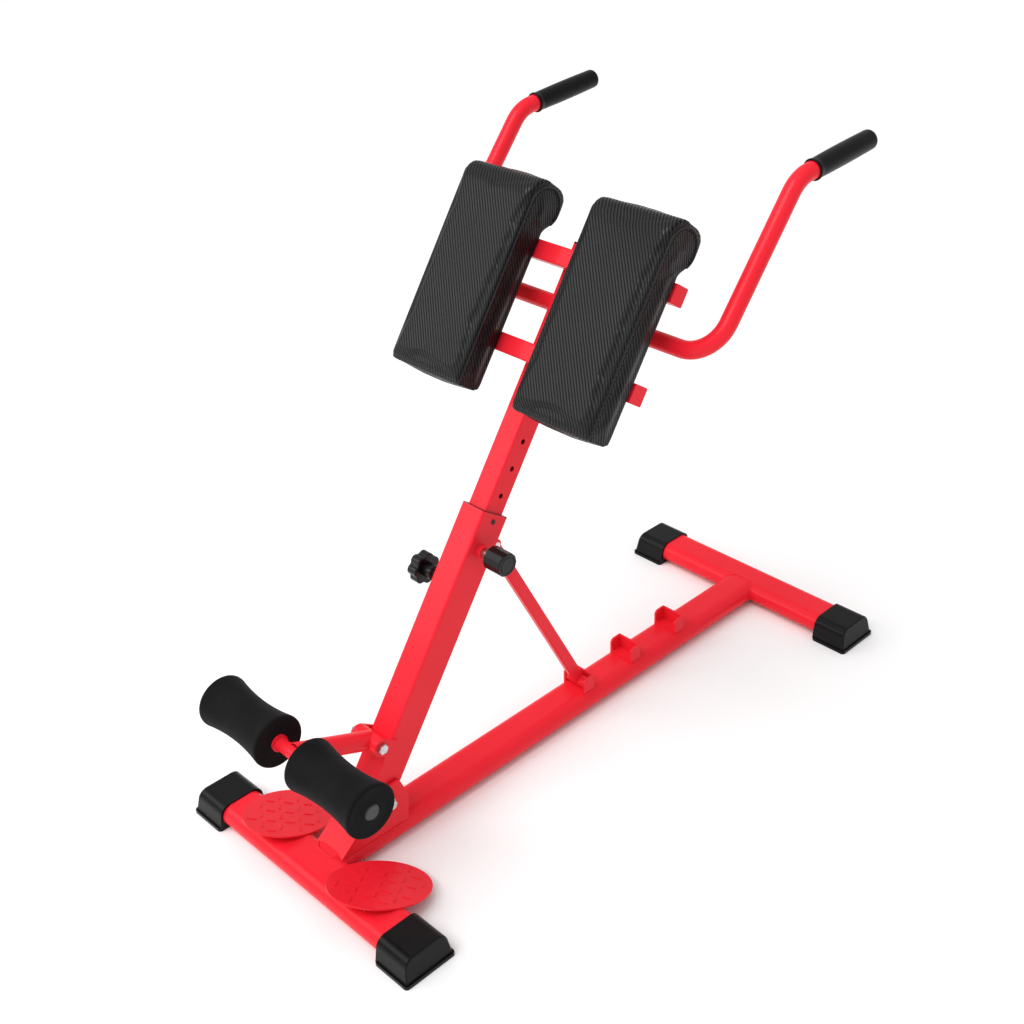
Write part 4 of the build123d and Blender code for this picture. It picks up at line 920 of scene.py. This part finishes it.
def hem_grid(label):
    """Ring of flat sections: outer edge on the outline, inner edge HEM_WIDTH further in."""
    low, high = span(f"{label}_pad_board", up)
    y0, y1 = (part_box(f"{label}_pad_board")[0][1] - HEM_PAST_SIDE,
              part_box(f"{label}_pad_board")[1][1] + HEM_PAST_SIDE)
    outer = rounded_outline(y0, y1, low - HEM_PAST_FOOT, high - HEM_SHORT_HEAD, HEM_CORNER, 220)
    middle = np.array([(y0 + y1) / 2, (low + high) / 2])
    turn = np.linspace(0, 2 * math.pi, len(outer), endpoint=False)
    wander = 0.0016 * np.sin(7 * turn) + 0.0011 * np.sin(17 * turn + 1.0)
    half = np.array([(y1 - y0) / 2, (high - low) / 2 + (HEM_PAST_FOOT - HEM_SHORT_HEAD) / 2])
    scale = 1.0 - (HEM_WIDTH + wander)[:, None] / half
    inner = middle + (outer - middle) * scale
    share = np.array([0.0, 0.5, 0.97, 1.0, 1.0, 0.97, 0.5, 0.0])
    lift = np.array([0.2, 1.0, 1.0, 0.7, -0.6, -0.8, -0.8, -0.6]) * HEM_RISE
    flat = outer[:, None] * (1 - share)[None, :, None] + inner[:, None] * share[None, :, None]
    puckers = 0.00025 * np.sin(41 * turn)[:, None] * (lift > 0)
    depth = pad_back + lift[None, :] + puckers
    return leaning(depth[..., None], flat[..., 1:2], flat[..., :1]), (outer + inner) / 2


for label in ("left", "right"):
    grid, middle_line = hem_grid(label)
    grid_piece(f"{label}_pad_hem", grid, piping_vinyl, "upper_post", wrap_rows=True)
    far = far_along(middle_line)
    starts = np.arange(ROW_START, far[-1] - ROW_START, STAPLE_STEP)
    places = read_off(middle_line, far, starts)
    ends = read_off(middle_line, far, starts + STAPLE_LENGTH)
    bars = [np.mean(span(node, up)) for node in ("top_crossbar", "bottom_crossbar")]
    free = np.min(np.abs(places[:, 1:2] - np.array(bars)[None]), axis=1) > BAR_CLEAR
    t = np.linspace(0, 1, 5)[:, None]
    rise = HEM_RISE + STAPLE_LOOP - 2 * STAPLE_LOOP * (np.abs(t - 0.5) * 2) ** 6
    staples = []
    for first, last in zip(places[free], ends[free]):
        flat = first * (1 - t) + last * t
        staples.append(carried(leaning(pad_back + rise, flat[:, 1:], flat[:, :1]), rear, STAPLE_R, 6))
    many_pieces(f"{label}_pad_staples", staples, zinc, "upper_post")
    print(label, "hem with", len(staples), "staples")

# %% [markdown]
# ## Ankle rollers
# Each roller is a waisted foam sleeve on a plastic core. It is a turned shape: a profile of distance
# from the axle against place along it, spun round. The profile runs from the bore out over a slightly
# dished end face, over a rounded rim, along the waist and back, so the sleeve is closed everywhere.

# %% Foam rollers
ROLLER_EDGE = 0.0035    # radius of the rim
ROLLER_DISH = 0.0013    # how far the middle of an end face is sunk


def roller_profile(low, high, bore, along, out):
    """Rows of (along, out): ends dished by a half sine, quarter-circle rims, measured waist."""
    edge = ROLLER_EDGE
    rims = np.interp([low + edge, high - edge], along, out)
    body_at = np.linspace(low + edge, high - edge, 60)
    body = np.stack([body_at, np.interp(body_at, along, out)], 1)
    a = np.linspace(0, 0.5 * math.pi, 8)[:-1]
    ends = []
    for end, rim, way in ((low, rims[0], 1.0), (high, rims[1], -1.0)):
        face = np.linspace(bore, rim - edge, 12)
        dish = ROLLER_DISH * np.sin(math.pi * (face - bore) / (rim - edge - bore))
        turn = np.stack([end + way * edge * (1 - np.sin(a)), rim - edge + edge * np.cos(a)], 1)
        ends.append(np.vstack([np.stack([end + way * dish, face], 1)[:-1], turn[::-1]]))
    return np.vstack([ends[0], body, ends[1][::-1]])


for label in ("left", "right"):
    node = f"{label}_roller_foam"
    low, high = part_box(node)
    axle = centre(node)
    offsets = points_of(node) - axle
    distance = np.hypot(offsets[:, 0], offsets[:, 2])
    levels = np.unique(offsets[:, 1].round(4))
    outer = np.array([distance[np.abs(offsets[:, 1] - level) < 0.0001].max() for level in levels])
    full = outer > 0.8 * outer.max()
    profile = roller_profile(low[1] - axle[1], high[1] - axle[1], distance.min(),
                             levels[full], outer[full])
    roller = grid_piece(f"{label}_foam_sleeve", turned(profile, axle, across, 128), foam,
                        f"{label}_roller", wrap_rows=True)
    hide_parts(node)
    print(roller.name, "rim", round(outer.max(), 4), "waist", round(outer[full].min(), 4))

# %% [markdown]
# ## Hand grips
# A moulded grip is a blind sleeve pushed over the tube: a small rolled lip at its mouth, a smooth
# body that swells a little in the middle, and a rounded closed end with a shallow ring. Its direction
# is the one in which the points of the frame's own grip spread furthest.

# %% Grips
GRIP_BORE = 0.01405     # a push fit over the handle tube
GRIP_END = 0.0045       # thickness of the closed end
LIP_HALF = 0.0026       # half the length of the rolled lip at the mouth
LIP_RISE = 0.0011
BODY_SWELL = 0.0007
DOME_R = 0.007          # rounding of the closed end
RING_SUNK = 0.0005


def grip_profile(length, radius, bore):
    """Rows of (along, out): bore, half-circle lip, half-sine body, quarter-circle dome, ringed face."""
    inside = np.array([[length - GRIP_END, 0.0], [length - GRIP_END, bore],
                       [0.0006, bore], [0.0, bore + 0.0006]])
    a = np.linspace(0, math.pi, 9)
    lip = np.stack([LIP_HALF - LIP_HALF * np.cos(a), radius - 0.0004 + LIP_RISE * np.sin(a)], 1)
    t = np.linspace(0, 1, 26)[1:-1]
    body = np.stack([0.006 + (length - 0.018) * t,
                     radius - BODY_SWELL + BODY_SWELL * np.sin(math.pi * t)], 1)
    b = np.linspace(0, 0.5 * math.pi, 12)
    dome = np.stack([length - DOME_R + DOME_R * np.sin(b),
                     radius - BODY_SWELL - DOME_R + DOME_R * np.cos(b)], 1)
    face = np.array([[length, radius * 0.42], [length - RING_SUNK, radius * 0.36],
                     [length - RING_SUNK, radius * 0.2], [length - 0.0004, 0.0]])
    return np.vstack([inside, lip, body, dome, face])


for label in ("left", "right"):
    node = f"{label}_grip"
    places = points_of(node)
    axis = np.linalg.svd(places - places.mean(0), full_matrices=False)[2][0]
    axis *= np.sign(axis[0])
    axis[1] = 0.0
    axis /= np.linalg.norm(axis)
    mouth, end = span(node, axis)
    side = np.cross(axis, across)
    origin = mouth * axis + np.mean(span(node, side)) * side + centre(node)[1] * across
    radius = (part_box(node)[1][1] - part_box(node)[0][1]) / 2
    grid = turned(grip_profile(end - mouth, radius, GRIP_BORE), origin, axis, 72)
    sleeve = grid_piece(f"{label}_hand_grip", grid, grip_rubber, "upper_post")
    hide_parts(node)
    print(sleeve.name, "length", round(end - mouth, 4), "radius", round(radius, 4))

# %% [markdown]
# ## Weld beads
# Tubes and brackets are joined by welding, which leaves a narrow rippled bead along each joint. A
# bead is a carried section whose radius rises and falls by a tenth every two millimetres, laid along
# the joint and half sunk in both parts. The joint lines come from the frame's own boxes. Beads are
# painted together with the tubes, so they share the tubes' red.

# %% Beads
BEAD_R = 0.0021
THIN_BEAD_R = 0.0016    # on the lower post's ears
BOSS_BEAD_R = 0.0014
BEAD_RIPPLE = 0.0022    # length of one ripple
RIPPLE_DEPTH = 0.12     # its share of the radius
BEAD_STEP = 0.0007      # between points along a bead
BEAD_SHORT = 0.002      # a bead stops this far short of a tube's edge
BEAD_OFF = 0.0004       # its middle lies this far outside a bracket's wall,
EAR_BEAD_OFF = 0.0003   # and this far outside an ear's
BRACKET_NOSE, BRACKET_TAIL = 0.022, 0.014   # ends of the pivot bracket that hang past the beam


def bead(line, guide, radius=BEAD_R, closed=False):
    """Radius along the bead = radius * (1 + depth * sin(2 pi * distance / ripple))."""
    line = np.asarray(line, float)
    length = np.linalg.norm(np.diff(line, axis=0), axis=1).sum()
    line = evenly(np.vstack([line, line[:1]]) if closed else line, max(12, int(length / BEAD_STEP)))
    far = np.linspace(0, length, len(line))
    ripple = radius * (1 + RIPPLE_DEPTH * np.sin(2 * math.pi * far / BEAD_RIPPLE))
    if closed:
        return carried(line[:-1], guide, ripple[:-1], 8, closed=True)
    fade = np.clip(np.minimum(far, length - far) / (2 * radius), 0.15, 1) ** 0.5
    return carried(line, guide, ripple * fade, 8)


def ring_line(middle, radius):
    """A circle of points round the Y direction."""
    return turned(np.array([[0.0, radius]]), middle, across, 72)[0]


beam_low, beam_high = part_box("main_beam")
tube_r = (beam_high[2] - beam_low[2]) / 2
tube_z = (beam_high[2] + beam_low[2]) / 2
beam_flat = beam_high[1] - tube_r


def beam_top(y):
    """Height of the flat-oval beam's surface at y: middle + sqrt(r^2 - (|y| - flat)^2)."""
    past = np.clip(np.abs(y) - beam_flat, 0, tube_r)
    return tube_z + np.sqrt(tube_r ** 2 - past ** 2)


base_beads = []
for node, ahead in (("front_cross_tube", 1.0), ("rear_cross_tube", -1.0)):
    low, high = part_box(node)
    reach = (high[0] - low[0]) / 2 - tube_r
    y = np.linspace(-beam_high[1] + 2 * BEAD_OFF, beam_high[1] - 2 * BEAD_OFF, 81)
    z = beam_top(y)
    bulge = np.sqrt(np.clip(tube_r ** 2 - (z - tube_z) ** 2, 0, None))
    x = (low[0] + high[0]) / 2 + ahead * (reach + bulge)
    base_beads.append(bead(np.stack([x, y, z], 1), (0.0, 0.0, 1.0)))
for node in ("strut_catch_1", "strut_catch_2", "strut_catch_3", "pivot_bracket"):
    low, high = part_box(node)
    is_catch = node != "pivot_bracket"
    x0, x1 = (low[0], high[0]) if is_catch else (low[0] + BRACKET_NOSE, high[0] - BRACKET_TAIL)
    for y in (low[1] - BEAD_OFF, high[1] + BEAD_OFF):
        x = np.linspace(x0, x1, 20)
        line = np.stack([x, np.full_like(x, y), np.full_like(x, float(beam_top(y)))], 1)
        base_beads.append(bead(line, (0.0, 0.0, 1.0)))
    if is_catch:
        y = np.linspace(low[1], high[1], 40)
        line = np.stack([np.full_like(y, high[0] + BEAD_OFF), y, beam_top(y)], 1)
        base_beads.append(bead(line, (1.0, 0.0, 0.0)))
many_pieces("base_weld_beads", base_beads, red_paint, "base")
print("base beads:", len(base_beads))

# %% Beads on the posts
head_beads = []
post_front = span("upper_post", rear)[0]
post_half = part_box("upper_post")[1][1]
for node in ("top_crossbar", "bottom_crossbar"):
    for s in span(node, up):
        y = np.linspace(-post_half + BEAD_SHORT, post_half - BEAD_SHORT, 20)[:, None]
        head_beads.append(bead(leaning(post_front, s, y), up))
handle = points_of("handle_tube")
through = handle[np.abs(handle[:, 1]) < np.abs(handle[:, 1]).min() + 0.0005]
handle_axis = np.array([(through[:, 0].min() + through[:, 0].max()) / 2, 0.0,
                        (through[:, 2].min() + through[:, 2].max()) / 2])
handle_r = (through[:, 0].max() - through[:, 0].min()) / 2
rings = [bead(ring_line(handle_axis + y * across, handle_r), across, closed=True)
         for y in (-post_half, post_half)]
many_pieces("crossbar_weld_beads", head_beads, red_paint, "upper_post")
many_pieces("handle_weld_rings", rings, red_paint, "upper_post", wrap_rows=True)
lower_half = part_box("lower_post")[1][1]
boss_rings = []
for node, y in (("pull_pin_boss", -lower_half), ("clamp_boss", lower_half)):
    middle = centre(node) * np.array([1.0, 0.0, 1.0]) + y * across
    radius = (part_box(node)[1][0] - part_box(node)[0][0]) / 2
    boss_rings.append(bead(ring_line(middle, radius), across, BOSS_BEAD_R, closed=True))
many_pieces("boss_weld_rings", boss_rings, red_paint, "lower_post", wrap_rows=True)
lower_beads = []
post_back = span("lower_post", rear)[1]
ear_low, ear_high = span("strut_bracket", up)
for y in (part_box("strut_bracket")[0][1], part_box("strut_bracket")[1][1]):
    s = np.linspace(ear_low + BEAD_SHORT, ear_high - BEAD_SHORT, 14)[:, None]
    lower_beads.append(bead(leaning(post_back, s, y), across, THIN_BEAD_R))
ear_back = span("arm_ears", rear)[1]
ear_low, ear_high = span("arm_ears", up)
for y in (-lower_half - EAR_BEAD_OFF, lower_half + EAR_BEAD_OFF):
    s = np.linspace(ear_low + BEAD_SHORT / 2, ear_high - BEAD_SHORT / 2, 14)[:, None]
    lower_beads.append(bead(leaning(ear_back, s, y), rear, THIN_BEAD_R))
many_pieces("lower_post_weld_beads", lower_beads, red_paint, "lower_post")
print("post beads:", len(head_beads) + len(rings) + len(boss_rings) + len(lower_beads))

# %% [markdown]
# ## Floor, light and camera
# The floor is a plain pale studio sweep. Soft light comes mostly from above and from the left of the
# camera, so tops are bright, left faces are clear and right faces are deep, with faint soft shadows.
# The key is a broad sun: it lights the whole sweep evenly, so that the floor fades into the backdrop,
# which the world paints white where it is seen directly and only lights softly with.

# %% Floor
FLOOR_REACH = 14.0
FLOOR_POINTS = 15
FLOOR_DROP = 0.0002     # under the feet, so that no face lies in another


def make_floor_paint():
    """Near-white paint with a faint cloudiness a metre across."""
    material, tree, shader, place = blank_material("pale_floor", (0.93, 0.93, 0.93), 0.75)
    cloud = noise(tree, place, 0.8, 3.0)
    feed(tree, shader, Base_Color=mixed_colour(tree, cloud, (0.94, 0.94, 0.945), (0.955, 0.955, 0.955)))
    return material


places = np.linspace(-FLOOR_REACH, FLOOR_REACH, FLOOR_POINTS)
x, y = np.meshgrid(places, places, indexing="ij")
floor_points = np.stack([x, y, np.full_like(x, cad_low[2] - FLOOR_DROP)], -1).reshape(-1, 3)
floor_faces = grid_faces(FLOOR_POINTS, FLOOR_POINTS, False, False)
floor_mesh = bpy.data.meshes.new("floor")
floor_mesh.from_pydata(floor_points.tolist(), [], floor_faces.tolist())
floor_mesh.materials.append(make_floor_paint())
floor = bpy.data.objects.new("floor", floor_mesh)
bpy.context.scene.collection.objects.link(floor)

# %% Light
KEY_STRENGTH = 1.6
KEY_BREADTH = math.radians(38.0)
KEY_RUNS = (1.0, -0.15, -1.6)
FILL_STRENGTH = 0.65
BACKDROP_STRENGTH = 1.0
WHITE = (1.0, 1.0, 1.0, 1.0)


def soft_light(name, place, aim, size, power):
    """A rectangular lamp that faces its aim."""
    data = bpy.data.lights.new(name, "AREA")
    data.shape = "RECTANGLE"
    data.size, data.size_y = size
    data.energy = power
    lamp = bpy.data.objects.new(name, data)
    bpy.context.scene.collection.objects.link(lamp)
    lamp.location = place
    lamp.rotation_euler = (Vector(aim) - Vector(place)).to_track_quat("-Z", "Y").to_euler()


soft_light("overhead", (-0.3, 0.2, 3.4), (0.0, 0.0, 0.4), (3.0, 3.0), 14)
soft_light("left_wall", (-1.9, 1.8, 1.75), (0.1, 0.0, 0.8), (1.5, 1.5), 16)
key = bpy.data.objects.new("key", bpy.data.lights.new("key", "SUN"))
key.data.energy = KEY_STRENGTH
key.data.angle = KEY_BREADTH
key.rotation_euler = Vector(KEY_RUNS).to_track_quat("-Z", "Y").to_euler()
bpy.context.scene.collection.objects.link(key)
world = bpy.data.worlds.new("studio")
bpy.context.scene.world = world
world.use_nodes = True
sky = world.node_tree
fill = sky.nodes["Background"]
fill.inputs["Color"].default_value = WHITE
fill.inputs["Strength"].default_value = FILL_STRENGTH
backdrop = sky.nodes.new("ShaderNodeBackground")
backdrop.inputs["Color"].default_value = WHITE
backdrop.inputs["Strength"].default_value = BACKDROP_STRENGTH
pick = sky.nodes.new("ShaderNodeMixShader")
sky.links.new(sky.nodes.new("ShaderNodeLightPath").outputs["Is Camera Ray"], pick.inputs["Fac"])
sky.links.new(fill.outputs["Background"], pick.inputs[1])
sky.links.new(backdrop.outputs["Background"], pick.inputs[2])
sky.links.new(pick.outputs["Shader"], sky.nodes["World Output"].inputs["Surface"])
bpy.context.scene.view_settings.view_transform = "Standard"

# %% [markdown]
# The camera stands to the front right of the bench, a little above the handles, and looks down at it.
# Its turn and tilt are given as angles, with a very small roll, and a small lens shift frames the bench.

# %% Camera
TURN, TILT, ROLL = 0.807, 0.517, -0.035
STANDS_AT = (-1.46218, -1.47288, 1.68419)
LENS, SENSOR = 51.15, 36.0
SHIFT_X, SHIFT_Y = -0.01636, -0.03452

camera_data = bpy.data.cameras.new("camera")
camera_data.lens, camera_data.sensor_width = LENS, SENSOR
camera_data.shift_x, camera_data.shift_y = SHIFT_X, SHIFT_Y
camera = bpy.data.objects.new("camera", camera_data)
bpy.context.scene.collection.objects.link(camera)
ahead = Vector((math.cos(TURN) * math.cos(TILT), math.sin(TURN) * math.cos(TILT), -math.sin(TILT)))
right = Vector((math.sin(TURN), -math.cos(TURN), 0.0))
above = right.cross(ahead)
rolled_right = math.cos(ROLL) * right + math.sin(ROLL) * above
rolled_up = -math.sin(ROLL) * right + math.cos(ROLL) * above
turn = Matrix([[rolled_right[i], rolled_up[i], -ahead[i]] for i in range(3)])
camera.matrix_world = Matrix.Translation(STANDS_AT) @ turn.to_4x4()
bpy.context.scene.camera = camera
